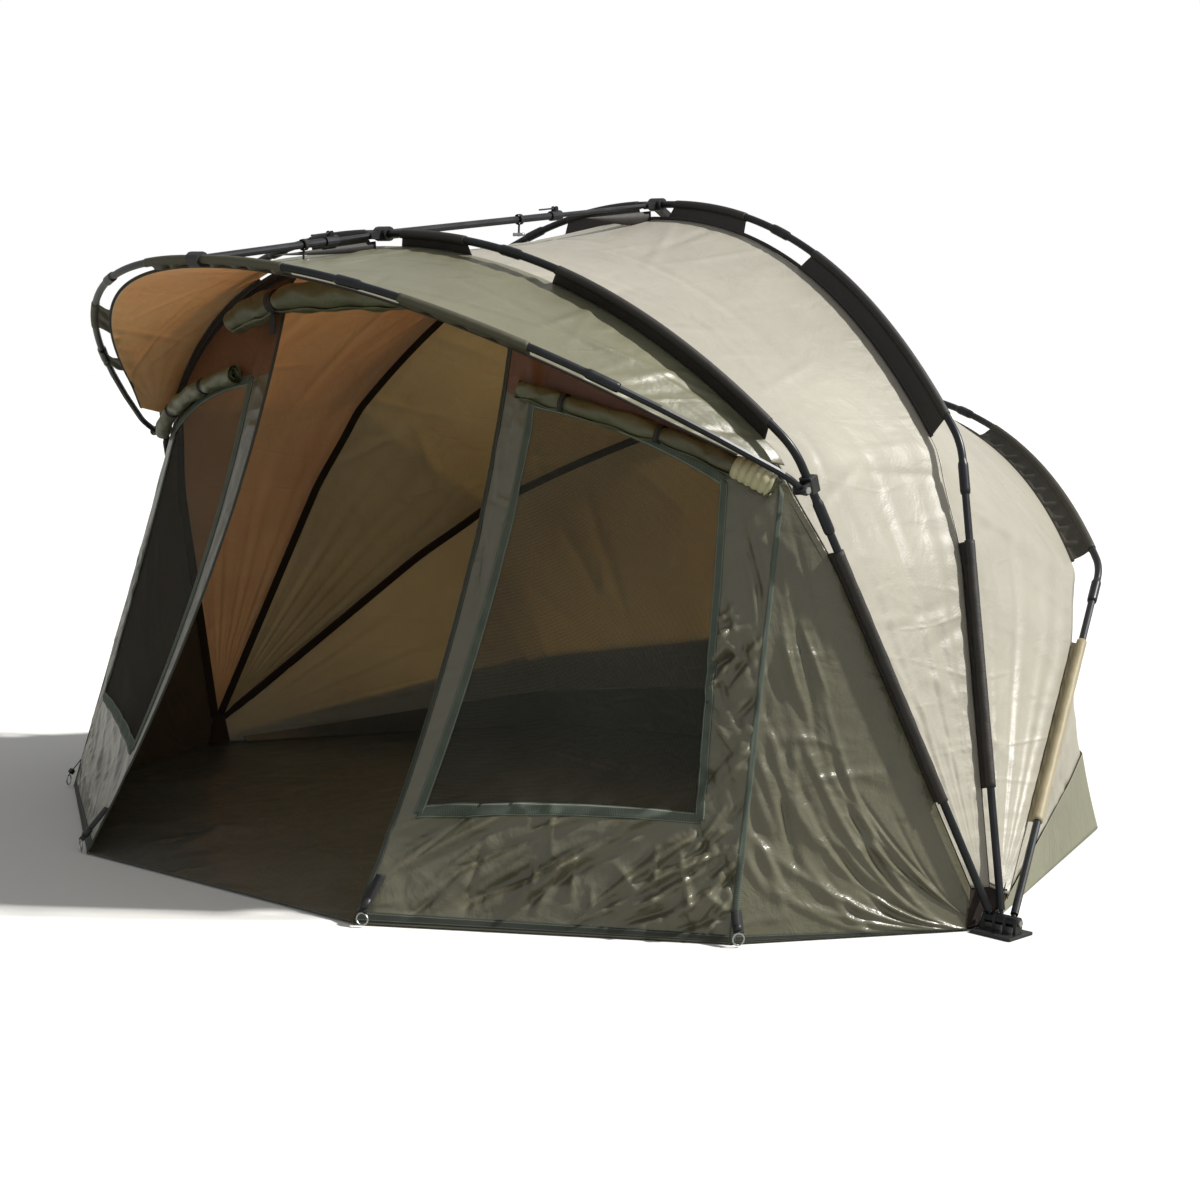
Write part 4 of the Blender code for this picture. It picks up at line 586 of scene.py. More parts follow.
# --- roof, hood and rear panel ----------------------------------------------

def roof_edge(rib, how, start, normal):
    """A whole seam in the world: even shares of its length from a start to the crown and back."""
    half = rib.seam(*how)
    flat = mirrored(resample(half, np.linspace(start, 1.0, SEAM_COLUMNS)))
    return rib.place(flat, normal)


def spanned(edge_a, edge_b, rows, sag, centre):
    """Straight rows between two edges, drawn towards a centre line by 4t(1-t) times the sag, and by
    less where the edges are nearer than FULL_SAG_SPAN."""
    t = np.linspace(0, 1, rows)[:, None, None]
    grid = lerp(edge_a, edge_b, t)
    inward = centre - grid
    inward[..., 0] = -grid[..., 0]
    width = np.linalg.norm(edge_b - edge_a, axis=-1)[None, :, None]
    return grid + unit(inward) * 4 * t * (1 - t) * sag * smooth(width / FULL_SAG_SPAN)


def across_rows(grid, first=0.0, last=1.0):
    """Weights that go evenly from the first to the last row of a grid."""
    return np.broadcast_to(np.linspace(first, last, len(grid))[:, None], grid.shape[:2])


def roof_cloth(name, edge_a, edge_b, sag, centre, finish, lining, folds, rows=ROOF_ROWS):
    """A cloth between two seams, and its plain grid. The folds are a height over (u, v) in metres,
    u along the seams and v across them, that stands out of the plain grid and dies at the seams."""
    grid = spanned(edge_a, edge_b, rows, sag, centre)
    middle = running(grid[rows // 2])
    u = np.broadcast_to(middle - middle[-1] / 2, grid.shape[:2])
    width = np.linalg.norm(edge_b - edge_a, axis=-1)
    v = (np.linspace(0, 1, rows)[:, None] - 0.5) * width
    edge = np.linspace(0, 1, rows)[:, None]
    hold = smooth(edge / 0.06) * smooth((1 - edge) / 0.06)
    lift = folds(u, v, width) * hold
    shaped = grid + normals(grid, centre) * lift[..., None]
    made = surface(name, shaped, finish, uv=np.stack([u, v], -1), lining=lining, thickness=CLOTH)
    if facing_in(grid, centre):
        made.data.flip_normals()
    return made, grid


def puckers(u, v, width, pitch, height, reach):
    """Short gathers along both seams: height * sin(2 pi u / pitch), fading with the distance from
    the seam as exp(-(d / reach)^2)."""
    near = np.minimum(v + width / 2, width / 2 - v)
    wander = np.sin(u * 9.1) * 0.8 + np.sin(u * 3.7 + 1.0)
    return height * np.sin(2 * np.pi * u / pitch + wander) * np.exp(-(near / reach) ** 2)


def roof_folds(seed_lines):
    """Folds of a roof panel: packing creases, gathers at the seams and fans above the hubs."""
    def folds(u, v, width):
        half = u.max()
        lift = creases(u, v, seed_lines)
        lift = lift + puckers(u, v, width, 0.060, 0.0007, 0.07)
        for side in (-1, 1):
            lift = lift + fan(u, v, (side * half, 0.0), 0.5, 58, 1.9, 0.0020, 0.7)
            lift = lift + fan(u, v, (side * half, 0.0), 0.4, 91, 1.5, 0.0010, 2.1)
        return lift
    return folds


FRONT_SEAM = roof_edge(FRONT, ROOF[FRONT], SEAM_START, -EDGE_LIFT)
MID_SEAM_FRONT = roof_edge(MID, ROOF[MID], SEAM_START, EDGE_LIFT)
MID_SEAM_REAR = roof_edge(MID, ROOF[MID], SEAM_START, -EDGE_LIFT)
REAR_SEAM = roof_edge(REAR, ROOF[REAR], SEAM_START, EDGE_LIFT)
REAR_SEAM_BACK = roof_edge(REAR, ROOF[REAR], SEAM_START, -EDGE_LIFT)


def make_roof():
    """The two roof panels between the three ribs, with packing creases across and along them."""
    jobs = (
        ("front", MID_SEAM_FRONT, FRONT_SEAM, CANOPY_LINING, "mid_rib", "front_rib", (
            (44, (-2.1, 2.1), (-0.42, 0.42), (0.20, 0.7), (35, 125), (0.0018, 0.0042), (0.011, 0.018)),
            (22, (-2.0, 2.0), (-0.35, 0.35), (0.5, 1.2), (-18, 30), (0.0018, 0.0042), (0.012, 0.024)))),
        ("rear", REAR_SEAM, MID_SEAM_REAR, REAR_LINING, "rear_rib", "mid_rib", (
            (44, (-2.1, 2.1), (-0.45, 0.45), (0.25, 0.9), (35, 130), (0.0018, 0.0042), (0.011, 0.018)),
            (24, (-2.0, 2.0), (-0.4, 0.4), (0.5, 1.2), (-20, 40), (0.0018, 0.0046), (0.012, 0.024)))),
    )
    for tag, edge_a, edge_b, lining, low, high, scatter in jobs:
        lines = np.vstack([scattered(*ranges) for ranges in scatter])
        made, grid = roof_cloth(f"{tag}_roof_cloth", edge_a, edge_b, CANOPY_SAG, HUB_LINE, CANOPY, lining,
                                roof_folds(lines))
        blended(made, "canopy", low, high, across_rows(grid), f"canopy_{tag}")
        sheet(made, grid)


def make_hood_cloth():
    """The hood's cloth from the front rib's seam to the brim: creases, gathers and a fan at both
    ends, all of which die away in the last 15 cm."""
    join = FRONT.seam(*JOIN)
    join = join[join[:, 1] > KNUCKLE_RISE + 0.040]
    flat = mirrored(resample(join, np.linspace(0.0, 1.0, SEAM_COLUMNS)))
    edge_a = FRONT.place(flat, EDGE_LIFT)
    edge_b = roof_edge(HOOD, BRIM, HOOD_START, EDGE_LIFT)
    lines = np.vstack([
        scattered(30, (-1.4, 1.4), (-0.25, 0.25), (0.2, 0.6), (40, 130), (0.0014, 0.0034), (0.010, 0.016)),
        scattered(14, (-1.3, 1.3), (-0.2, 0.2), (0.4, 0.9), (-20, 25), (0.0014, 0.0034), (0.010, 0.020)),
    ])

    def folds(u, v, width):
        half = u.max()
        lift = creases(u, v, lines) + puckers(u, v, width, 0.07, 0.0010, 0.07)
        for side in (-1, 1):
            lift = lift + fan(u, v, (side * half, 0.0), 0.3, 27, 0.8, 0.0010, 0.2)
        return lift * smooth((half - np.abs(u)) / 0.15)
    centre = np.array([0.0, HOOD_AXIS[1], HOOD_AXIS[2]])
    made, grid = roof_cloth("hood_roof_cloth", edge_a, edge_b, HOOD_SAG, centre, HOOD_CLOTH, HOOD_LINING,
                            folds, HOOD_ROWS)
    blended(made, "hood", "front_rib", "hood_rib", across_rows(grid), "hood_cloth")
    sheet(made, grid)


def rear_hem(start):
    """The hem of the rear panel: the points of REAR_HEM, taken from a start share to the middle of
    the back and mirrored."""
    stops = np.array(REAR_HEM)
    half = at(stops[:, 1:], stops[:, 0], np.linspace(start, 1, SEAM_COLUMNS))
    return np.column_stack([mirrored(half), np.full(2 * SEAM_COLUMNS - 1, HEM_HEIGHT)])


def make_rear_panel():
    """The back wall from the rear rib down to the hem, with an olive skirt along the ground."""
    foot = rear_hem(0.0)
    lines = scattered(54, (-2.2, 2.2), (-0.5, 0.5), (0.25, 0.8), (40, 140), (0.0018, 0.0046),
                      (0.011, 0.020))
    made, grid = roof_cloth("rear_wall_cloth", REAR_SEAM_BACK, foot, CANOPY_SAG, HUB_LINE, CANOPY,
                            REAR_LINING, roof_folds(lines), REAR_ROWS)
    blended(made, "canopy", "ground", "rear_rib", across_rows(grid, 1, 0), "rear_panel")
    sheet(made, grid)
    rows = np.linspace(0.66, 0.997, 20)
    low = spanned(REAR_SEAM_BACK, foot, 200, CANOPY_SAG, HUB_LINE)[(rows * 199).astype(int)]
    clear_of_folds = normals(low, HUB_LINE) * 0.0070
    skirt = surface("rear_skirt", low + clear_of_folds, SKIRT, thickness=THIN_SHEET)
    blended(skirt, "canopy", "ground", "rear_rib", np.broadcast_to((1 - rows)[:, None], low.shape[:2]))
    sheet(skirt, low)


# --- webs and sleeves round the poles ----------------------------------------

def keyhole(depth, radius, s, ripples, arm=10, loop=18):
    """Profiles of a cloth that goes round a pole and comes down flat to the seam: two arms from the
    seam at depth, swaying together by the ripples at s, and a loop of the given radius between them.
    The ripples lean: from the seam to the pole they move on by 3 cm."""
    half = WEB_CLOTH / 2
    open_angle = math.asin(half / radius)
    turn = np.linspace(open_angle, 2 * np.pi - open_angle, loop)
    rows = len(depth)
    top = radius * math.cos(open_angle)
    share = np.linspace(0, 1, arm, endpoint=False)
    down = lerp(depth[:, None], top, share[None, :])
    sway = ripples(s[:, None] + 0.03 * share[None, :]) * np.sin(np.pi * share) ** 0.8
    right = np.stack([down, half + sway], -1)
    left = np.stack([down, -half + sway], -1)[:, ::-1]
    ring = np.stack([radius * np.cos(turn), radius * np.sin(turn)], -1)
    return np.concatenate([right, np.broadcast_to(ring, (rows, loop, 2)), left], 1)


def web_zone(rib, how, low, high, slope, finish, ripples):
    """A stretch of web between two places x on its rib. A row every 7 mm carries a keyhole profile
    p at outline(s) + p0 * inward(s), and s leans in by the slope towards the pole at both ends."""
    low, high = length_at(rib, low), length_at(rib, high)
    rows = max(int((high - low) / 0.007), 6)
    mid = np.linspace(low, high, rows)
    depth = rib.depths(rib.along(mid)[0], *how)
    profile = keyhole(depth, rib.radius + 0.0018, mid, ripples)
    lean = slope * (1 - np.clip((profile[..., 0] + rib.radius) / (depth[:, None] + rib.radius), 0, 1))
    points, inward = rib.along(lerp(low + lean, high - lean, np.linspace(0, 1, rows)[:, None]))
    grid = rib.place(points + inward * profile[..., :1], profile[..., 1])
    return surface("web_zone", grid, finish, wrap=True, caps=True)


def seam_strip(rib, how, low, high, finish, width=0.010, half=0.0019):
    """The doubled seam that runs on across the cut-outs: a flat band, rounded at its edges, carried
    along the seam between two running lengths with a row every 12 mm."""
    centre, inward = rib.along(np.linspace(low, high, int((high - low) / 0.012)))
    depth = rib.depths(centre, *how)
    section = np.array([
        (-width, -0.4), (-width, 0.4), (-width * 0.9, 1), (0.0005, 1), (0.0015, 0), (0.0005, -1),
        (-width * 0.9, -1),
    ]) * [1.0, half]
    profile = section[None] + np.stack([depth, np.zeros_like(depth)], -1)[:, None]
    points = centre[:, None] + inward[:, None] * profile[..., :1]
    return surface("seam_strip", rib.place(points, profile[..., 1]), finish, wrap=True, caps=True)


def length_at(rib, x):
    """The running length of the whole outline where its upper part passes a place x."""
    foot = 0.001 if rib is HOOD else rib.elbow[1] * 0.6
    upper = rib.outline[:, 1] > foot
    return float(np.interp(-x, -rib.outline[upper, 0], rib.lengths[upper]))


def no_ripple(s):
    """A taut web: waves of half a millimetre."""
    return 0.0006 * np.sin(s * 61) + 0.0005 * np.sin(s * 23 + 1)


def loose_ripple(s):
    """A slack web: waves up to 5 mm high, mostly 7 cm apart."""
    return 0.0036 * np.sin(s * 84 + 0.6 * np.sin(s * 17)) + 0.0018 * np.sin(s * 147 + 1)


def make_webs():
    """The webs that hang the roof from the three ribs, cut away round ferrules and crown."""
    connector = 0.052
    cuts = (
        ("front", FRONT, 0.311, 0.561, 1.144, WEB, WEB, no_ripple),
        ("mid", MID, 0.355, 0.579, 1.122, WEB, WEB, no_ripple),
        ("rear", REAR, 0.330, 0.570, 1.164, REAR_WEB, PALE_SLEEVE, loose_ripple),
    )
    for tag, rib, inner, outer, end, finish, sleeve, ripples in cuts:
        stretches = ((end, outer), (inner, connector), (-connector, -inner), (-outer, -end))
        parts = [web_zone(rib, ROOF[rib], low, high, 0.022, finish, ripples) for low, high in stretches]
        parts.append(seam_strip(rib, ROOF[rib], length_at(rib, end), length_at(rib, -end), finish))
        riding(joined(f"{tag}_web_cloth", parts), f"{tag}_rib", "web", f"{tag}_web")
        for side, hand in SIDES:
            make_leg_sleeve(tag, rib, side, hand, sleeve, ripples)


def make_leg_sleeve(tag, rib, side, hand, finish, ripples):
    """The cloth sleeve round a leg, with its fin down to the roof's seam: the web's keyhole profile,
    swelling by a twentieth in two waves along the leg."""
    length = running(rib.half)
    low, high = np.interp([LEG_SLEEVE_FOOT, LEG_SLEEVE_TOPS[tag]], rib.half[:, 1], length)
    s = np.linspace(low, high, 60)
    centre = at(rib.half, length, s)
    profile = keyhole(rib.depths(centre, *ROOF[rib]), rib.radius + 0.0030, s, ripples)
    swell = 1 + 0.05 * np.sin(s * 47 + side) + 0.04 * np.sin(s * 113)
    profile = profile * np.stack([np.ones_like(swell), swell], -1)[:, None]
    inward = at(unit(rib.inward(rib.half)), length, s)
    points = (centre[:, None] + inward[:, None] * profile[..., :1]) * [side, 1.0]
    grid = rib.place(points, profile[..., 1])
    made = surface(f"{tag}_leg_sleeve_{hand}", grid[:, ::side], finish, wrap=True, caps=True)
    riding(made, f"{tag}_rib", "web", f"{tag}_sleeve_{hand}")


def make_brim():
    """The hood's olive sleeves and tabs along its pole, and the seam that carries the cloth."""
    zones = ((0.823, 0.557, 0.012), (0.294, -0.228, 0.012), (-0.653, -0.801, 0.008),
             (-0.930, -0.985, 0.006))
    parts = [web_zone(HOOD, BRIM, *zone, HOOD_SLEEVE, loose_ripple) for zone in zones]
    start = running(HOOD.half)[-1] * HOOD_START
    parts.append(seam_strip(HOOD, BRIM, start, HOOD.lengths[-1] - start, SEAM_BAND_AND_PAINTED_SHADE, 0.007, 0.0022))
    riding(joined("brim_web", parts), "hood_rib", "roll", "hood_web")


def make_arches():
    """The bent poles as smooth bars: r = the pole's radius, and 3 mm more at the four ferrules, with
    4 mm ramps. Each row gives the rise of the lowest ferrules and the x of the upper ones."""
    jobs = (
        ("front", FRONT, 0.972, 0.436), ("mid", MID, 1.000, 0.467),
        ("rear", REAR, 1.045, 0.450), ("hood", HOOD, 0.412, 0.454),
    )
    proud, ramp, low_ferrule, half_ferrule = 0.003, 0.004, 0.08, 0.03
    for tag, rib, joint, ferrule in jobs:
        start = float(np.interp(joint, rib.half[:, 1], running(rib.half)))
        end = rib.lengths[-1] - start
        s = np.linspace(start, end, 420)
        spans = [(start, start + low_ferrule), (end - low_ferrule, end)]
        for middle in (length_at(rib, ferrule), length_at(rib, -ferrule)):
            spans.append((middle - half_ferrule, middle + half_ferrule))
        swells = [smooth((s - low) / ramp + 0.5) * smooth((high - s) / ramp + 0.5) for low, high in spans]
        path = rib.place(rib.along(s)[0])
        grid = pole_grid(path, rib.radius + proud * np.max(swells, 0), rib.normal, 24)
        made = surface(f"{tag}_arch_pole", grid, POLE_COAT, wrap=True, caps=True)
        riding(made, f"{tag}_rib", "pole", f"{tag}_arch")


# --- front walls --------------------------------------------------------------

WALL_SEAM = FRONT.seam(*ROOF[FRONT])
WALL_LENGTHS = running(WALL_SEAM)
CORNER_SHARE = float(np.interp(CORNER_HEAD_RISE, WALL_SEAM[:, 1], WALL_LENGTHS)) / WALL_LENGTHS[-1]


def feet(side):
    """Hub corner, front corner and door foot of one wall, on the ground."""
    hub = np.array([side * HUB_CORNER[0], -HUB_CORNER[1], HEM_HEIGHT])
    corner = np.array([side * CORNER_FOOT[0], CORNER_FOOT[1] + side * CORNER_FOOT[2], HEM_HEIGHT])
    door = np.array([side * DOOR_FOOT[0] + DOOR_SHIFT, DOOR_FOOT[1] + side * DOOR_FOOT[2], HEM_HEIGHT])
    return hub, corner, door


def plain_wall(side, run, drop):
    """A wall without its folds: run 0 to 1 is the wing, 1 to 2 the front panel, and drop goes from 0
    at the seam to 1 at the hem. The front panel bows inward by 4 drop (1 - drop) towards the door."""
    run, drop = np.broadcast_arrays(np.asarray(run, float), np.asarray(drop, float))
    door_head = np.interp(-(DOOR_HEAD_X + side * DOOR_SHIFT), -WALL_SEAM[:, 0], WALL_LENGTHS)
    door_share = door_head / WALL_LENGTHS[-1]
    share = np.where(run <= 1, lerp(SEAM_START, CORNER_SHARE, run), lerp(CORNER_SHARE, door_share, run - 1))
    flat = at(WALL_SEAM, WALL_LENGTHS, share * WALL_LENGTHS[-1]) * [side, 1.0]
    top = FRONT.place(flat, EDGE_LIFT)
    hub, corner, door = feet(side)
    first = np.clip(run, 0, 1)[..., None]
    second = np.clip(run - 1, 0, 1)[..., None]
    foot = np.where(run[..., None] <= 1, lerp(hub, corner, first), lerp(corner, door, second))
    point = lerp(top, foot, drop[..., None])
    point[..., 1] += DOOR_BOW * np.maximum(run - 1, 0) * 4 * drop * (1 - drop)
    return point


# Creases in metres from the front corner's foot, as (along, up) to (along, up), height, half width.
# The wing's fan out of the hub. The panel's run down towards the door under the window, and short
# ones cross the strip beside it
WING_LINES = np.vstack([
    [(0.74, 0.02, 0.05, 0.66, 0.0100, 0.018), (0.74, 0.02, 0.03, 0.44, 0.0085, 0.016),
     (0.74, 0.00, 0.02, 0.26, 0.0075, 0.015), (0.70, 0.06, 0.12, 0.84, 0.0070, 0.018),
     (0.72, 0.00, 0.16, 0.12, 0.0060, 0.014), (0.56, 0.06, 0.06, 0.54, -0.0075, 0.016),
     (0.60, 0.14, 0.20, 0.66, -0.0065, 0.016)],
    scattered(26, (0.02, 0.17), (0.10, 0.98), (0.12, 0.32), (98, 142), (0.0050, 0.0090), (0.011, 0.017)),
    scattered(18, (0.12, 0.60), (0.03, 0.55), (0.18, 0.50), (130, 162), (0.0035, 0.0070), (0.011, 0.018)),
])
PANEL_LINES = np.vstack([
    [(0.10, 0.25, 0.40, 0.02, 0.0080, 0.011), (0.22, 0.27, 0.58, 0.03, 0.0095, 0.012),
     (0.34, 0.27, 0.78, 0.03, 0.0100, 0.012), (0.48, 0.27, 0.90, 0.06, 0.0095, 0.011),
     (0.60, 0.27, 0.92, 0.13, 0.0080, 0.010), (0.02, 0.14, 0.20, 0.02, 0.0080, 0.012),
     (0.28, 0.20, 0.52, 0.05, -0.0075, 0.011), (0.42, 0.22, 0.70, 0.09, -0.0075, 0.011),
     (0.16, 0.20, 0.10, 0.04, 0.0060, 0.010), (0.44, 0.14, 0.48, 0.03, 0.0055, 0.009),
     (0.04, 0.28, 0.14, 0.14, 0.0060, 0.010), (0.70, 0.20, 0.88, 0.10, -0.0060, 0.011)],
    scattered(30, (0.08, 0.84), (0.03, 0.24), (0.12, 0.34), (136, 162), (0.0030, 0.0065), (0.007, 0.011)),
    scattered(14, (0.08, 0.84), (0.03, 0.24), (0.06, 0.16), (35, 85), (0.0025, 0.0050), (0.006, 0.010)),
    scattered(40, (0.02, 0.14), (0.04, 0.72), (0.08, 0.20), (112, 150), (0.0035, 0.0065), (0.007, 0.011)),
    scattered(14, (0.02, 0.14), (0.04, 0.72), (0.07, 0.18), (30, 70), (0.0025, 0.0050), (0.007, 0.011)),
    scattered(8, (0.02, 0.13), (0.60, 0.98), (0.10, 0.22), (50, 85), (0.0020, 0.0035), (0.010, 0.015)),
    scattered(12, (0.72, 0.88), (0.30, 0.95), (0.15, 0.40), (60, 90), (0.0020, 0.0040), (0.011, 0.017)),
])


def wall_folds(side, run, drop):
    """How far a wall stands out of its plain surface: 0.9 times the wing's creases and twice the
    panel's, nothing at the sewn edges, and a fifth of all that on the left wall, which is tight."""
    height = WALL_HEIGHT * (1 - drop)
    wing = np.clip(1 - run, 0, 1) * WING_LENGTH
    panel = np.clip(run - 1, 0, 1) * PANEL_LENGTH
    inside = smooth(drop / 0.1) * smooth((1 - drop) / 0.03)
    on_wing = creases(wing, height, WING_LINES) * smooth(wing / 0.03)
    on_panel = creases(panel, height, PANEL_LINES) * smooth(panel / 0.015)
    slack = 1.0 if side > 0 else 0.2
    return (on_wing * 0.9 + on_panel * 2.0) * inside * slack


def wall(side, run, drop, proud=0.0):
    """A wall's surface with its folds, moved outward by proud. Outward is the cross product of two
    small steps on the plain wall, along run and along drop."""
    run, drop = np.broadcast_arrays(np.asarray(run, float), np.asarray(drop, float))
    point = plain_wall(side, run, drop)
    step = 0.004
    low = np.where(run > 1, np.maximum(run - step, 1.0), np.minimum(run, 1.0 - step))
    across = plain_wall(side, low + step, drop) - plain_wall(side, low, drop)
    high = np.minimum(drop, 1 - step)
    down = plain_wall(side, run, np.minimum(drop + step, 1)) - plain_wall(side, run, high)
    out = unit(np.cross(across, down))
    out = out * np.sign((out * np.array([0.3 * side, -1.0, 0.2])).sum(-1, keepdims=True))
    return point + out * (wall_folds(side, run, drop) + proud)[..., None]


def panel_place(c, r):
    """Run and drop on a front panel: c goes 0 corner, 1 and 2 window sides, 3 door; r goes 0 seam,
    1 and 2 window head and foot, 3 hem."""
    a = np.clip(c - 1, 0, 1)
    down = np.clip(r - 1, 0, 1)
    start = lerp(WINDOW_HEAD_RUNS[0], WINDOW_FOOT_RUNS[0], down)
    end = lerp(WINDOW_HEAD_RUNS[1], WINDOW_FOOT_RUNS[1], down)
    run = np.where(c < 1, start * c, np.where(c < 2, lerp(start, end, a), lerp(end, 1.0, c - 2)))
    head = lerp(*WINDOW_HEAD_DROPS, a)
    foot = lerp(*WINDOW_FOOT_DROPS, a)
    drop = np.where(r < 1, head * r, np.where(r < 2, lerp(head, foot, down), lerp(foot, 1.0, r - 2)))
    return 1 + run, drop


def even_places(*counts):
    """Places 0 to len(counts), with counts[k] even steps between k and k + 1."""
    return np.concatenate([*(k + np.arange(n) / n for k, n in enumerate(counts)), [float(len(counts))]])


def make_wall(side, hand):
    """A wing and a front panel in one cloth, with the window left open, its mesh and its tapes. The
    faces above the window take a rust colour that is painted orange light: the glow that comes through the
    hood onto the same cloth."""
    r = even_places(HEAD_ROWS, WINDOW_ROWS, FOOT_ROWS)
    c = even_places(STRIP_COLUMNS, WINDOW_COLUMNS, DOOR_COLUMNS)
    run, drop = panel_place(*np.meshgrid(c, r))
    wing_drop = np.broadcast_to(drop[:, :1], (len(r), WING_COLUMNS))
    wing_run = np.broadcast_to(even_places(WING_COLUMNS)[:-1], wing_drop.shape)
    run, drop = np.concatenate([wing_run, run], 1), np.concatenate([wing_drop, drop], 1)
    i, j = np.meshgrid(np.arange(len(r) - 1), np.arange(run.shape[1] - 1), indexing="ij")
    window_start = WING_COLUMNS + STRIP_COLUMNS
    window = (i >= HEAD_ROWS) & (i < HEAD_ROWS + WINDOW_ROWS)
    window &= (j >= window_start) & (j < window_start + WINDOW_COLUMNS)
    keep = ~window[:, ::side]
    # The faces above the window get the painted orange glow in place of the wall's own colour.
    head = ((i < HEAD_ROWS) & (j >= window_start))[:, ::side]
    grid, plain = wall(side, run, drop)[:, ::side], plain_wall(side, run, drop)[:, ::side]
    made = surface(f"front_wall_cloth_{hand}", grid, WALL, keep=keep, lining=WALL_LINING, thickness=CLOTH)
    made.data.materials.append(PAINTED_HOOD_GLOW)
    made.data.polygons.foreach_set("material_index", np.where(head[keep], 2, 0).astype(np.int32))
    riding(made, "front_rib", "wall", f"front_wall_{hand}")
    tapes = make_tapes(side, hand)
    sheet(made, plain, keep)
    c, r = np.meshgrid(np.linspace(1, 2, 40), np.linspace(1, 2, 40))
    sway = 0.004 * np.sin(np.pi * (c - 1)) * np.sin(np.pi * (r - 1))
    net = wall(side, *panel_place(c, r), -CLOTH) + sway[..., None] * [0, 1, 0]
    net_sheet = surface(f"insect_mesh_{hand}", net[:, ::side], MESH, thickness=0.0006)
    riding(net_sheet, "front_rib", "net", f"window_net_{hand}")
    sheet(net_sheet, net)


def ribbon(side, run, drop, width, finish, proud=0.0016, thickness=0.0014):
    """A tape that follows the wall along a line of (run, drop) places, five points wide. For its
    direction, run is taken as 0.85 m and drop as the wall's height."""
    path = np.stack(np.broadcast_arrays(run, drop), -1)
    scale = np.array([0.85, WALL_HEIGHT])
    way = unit(np.gradient(path * scale, axis=0))
    cross = np.stack([-way[:, 1], way[:, 0]], -1) / scale
    share = np.linspace(-0.5, 0.5, 5)
    place = path[:, None] + cross[:, None] * width * share[None, :, None]
    grid = wall(side, np.clip(place[..., 0], 0, 2), np.clip(place[..., 1], 0, 1), proud)
    length = running(wall(side, run, drop))
    uv = np.stack(np.broadcast_arrays(length[:, None], share[None] * width), -1)
    return surface("ribbon", grid, finish, uv=uv, thickness=thickness)


def make_tapes(side, hand):
    """Window tape, corner and door edge bindings and the hem, all sewn to one wall."""
    t = np.linspace(0, 1, 60)
    long = lerp(-0.014, 1.014, t)
    frame_lines = ((0 * t, long), (1 + 0 * t, long), (long, 0 * t), (long, 1 + 0 * t))
    parts = [ribbon(side, *panel_place(1 + c, 1 + r), WINDOW_TAPE, TAPE) for c, r in frame_lines]
    run, drop = panel_place(3 + 0 * t, 3 * t)
    parts.append(ribbon(side, run - 0.006, drop, DOOR_BINDING, EDGE_TAPE))
    parts.append(ribbon(side, 1.0, lerp(0.03, 1.0, t), CORNER_TAPE, TAPE))
    parts.append(ribbon(side, np.linspace(0.0, 2.0, 140), 0.990, HEM_TAPE, EDGE_TAPE))
    parts.append(ribbon(side, np.linspace(1.0, 2.0, 60), 0.010, HEM_TAPE, BLACK_TAPE))
    return [riding(joined(f"wall_tapes_{hand}", parts), "front_rib", "wall")]


# --- rolled covers ------------------------------------------------------------

def wound(name, path, radius, core, turns, finish, shape, steps=26):
    """A cloth wound up along a path: r = core + (radius - core) * t, times shape(s, angle, t), where
    t is the share of the turns. At both ends the turns stand out 4 mm by sin(0.37 angle + 1)."""
    length = running(path)
    along, top, side = crosswise(path)
    t = np.linspace(0, 1, int(turns * steps) + 1)
    angle = 2 * np.pi * turns * t
    r = lerp(core, radius, t)[None, :] * shape(length[:, None], angle[None, :], t[None, :])
    grid = path[:, None] + (r * np.cos(angle))[..., None] * top[:, None]
    grid = grid + (r * np.sin(angle))[..., None] * side[:, None]
    share = length[:, None] / length[-1]
    stagger = 0.004 * np.sin(angle * 0.37 + 1.0) * np.where(length[:, None] < length[-1] / 2, 1, -1)
    grid = grid + (stagger * smooth(np.abs(share - 0.5) * 4 - 1))[..., None] * along[:, None]
    return surface(name, grid, finish, thickness=0.0011), grid


def band(centre, axis, radii, width, thickness=0.0018):
    """A strap tied round a roll: a flat loop of the given half axes."""
    side = unit(np.cross(axis, UP))
    top = np.cross(side, axis)
    turn = np.linspace(0, 2 * np.pi, 28, endpoint=False)
    ring = centre + np.cos(turn)[:, None] * radii[0] * top + np.sin(turn)[:, None] * radii[1] * side
    out = unit(ring - centre)
    section = np.array([(0, -0.5), (1, -0.5), (1, 0.5), (0, 0.5)]) * [thickness, width]
    grid = ring[:, None] + section[None, :, :1] * out[:, None] + section[None, :, 1:] * axis
    return surface("band", np.concatenate([grid, grid[:1]], 0), BLACK_TAPE, wrap=True)


def flat_strap(line, half):
    """A webbing strap 2 mm thick along a line, half a width to each side."""
    return baked(surface("strap", np.stack([line - half, line + half], 1), BLACK_TAPE, thickness=0.002))


def place_on(path, where):
    """The point of a path at a running length, and the path's direction there over 1 cm."""
    point, ahead = at(path, running(path), [where, where + 0.01])
    return point, unit(ahead - point)


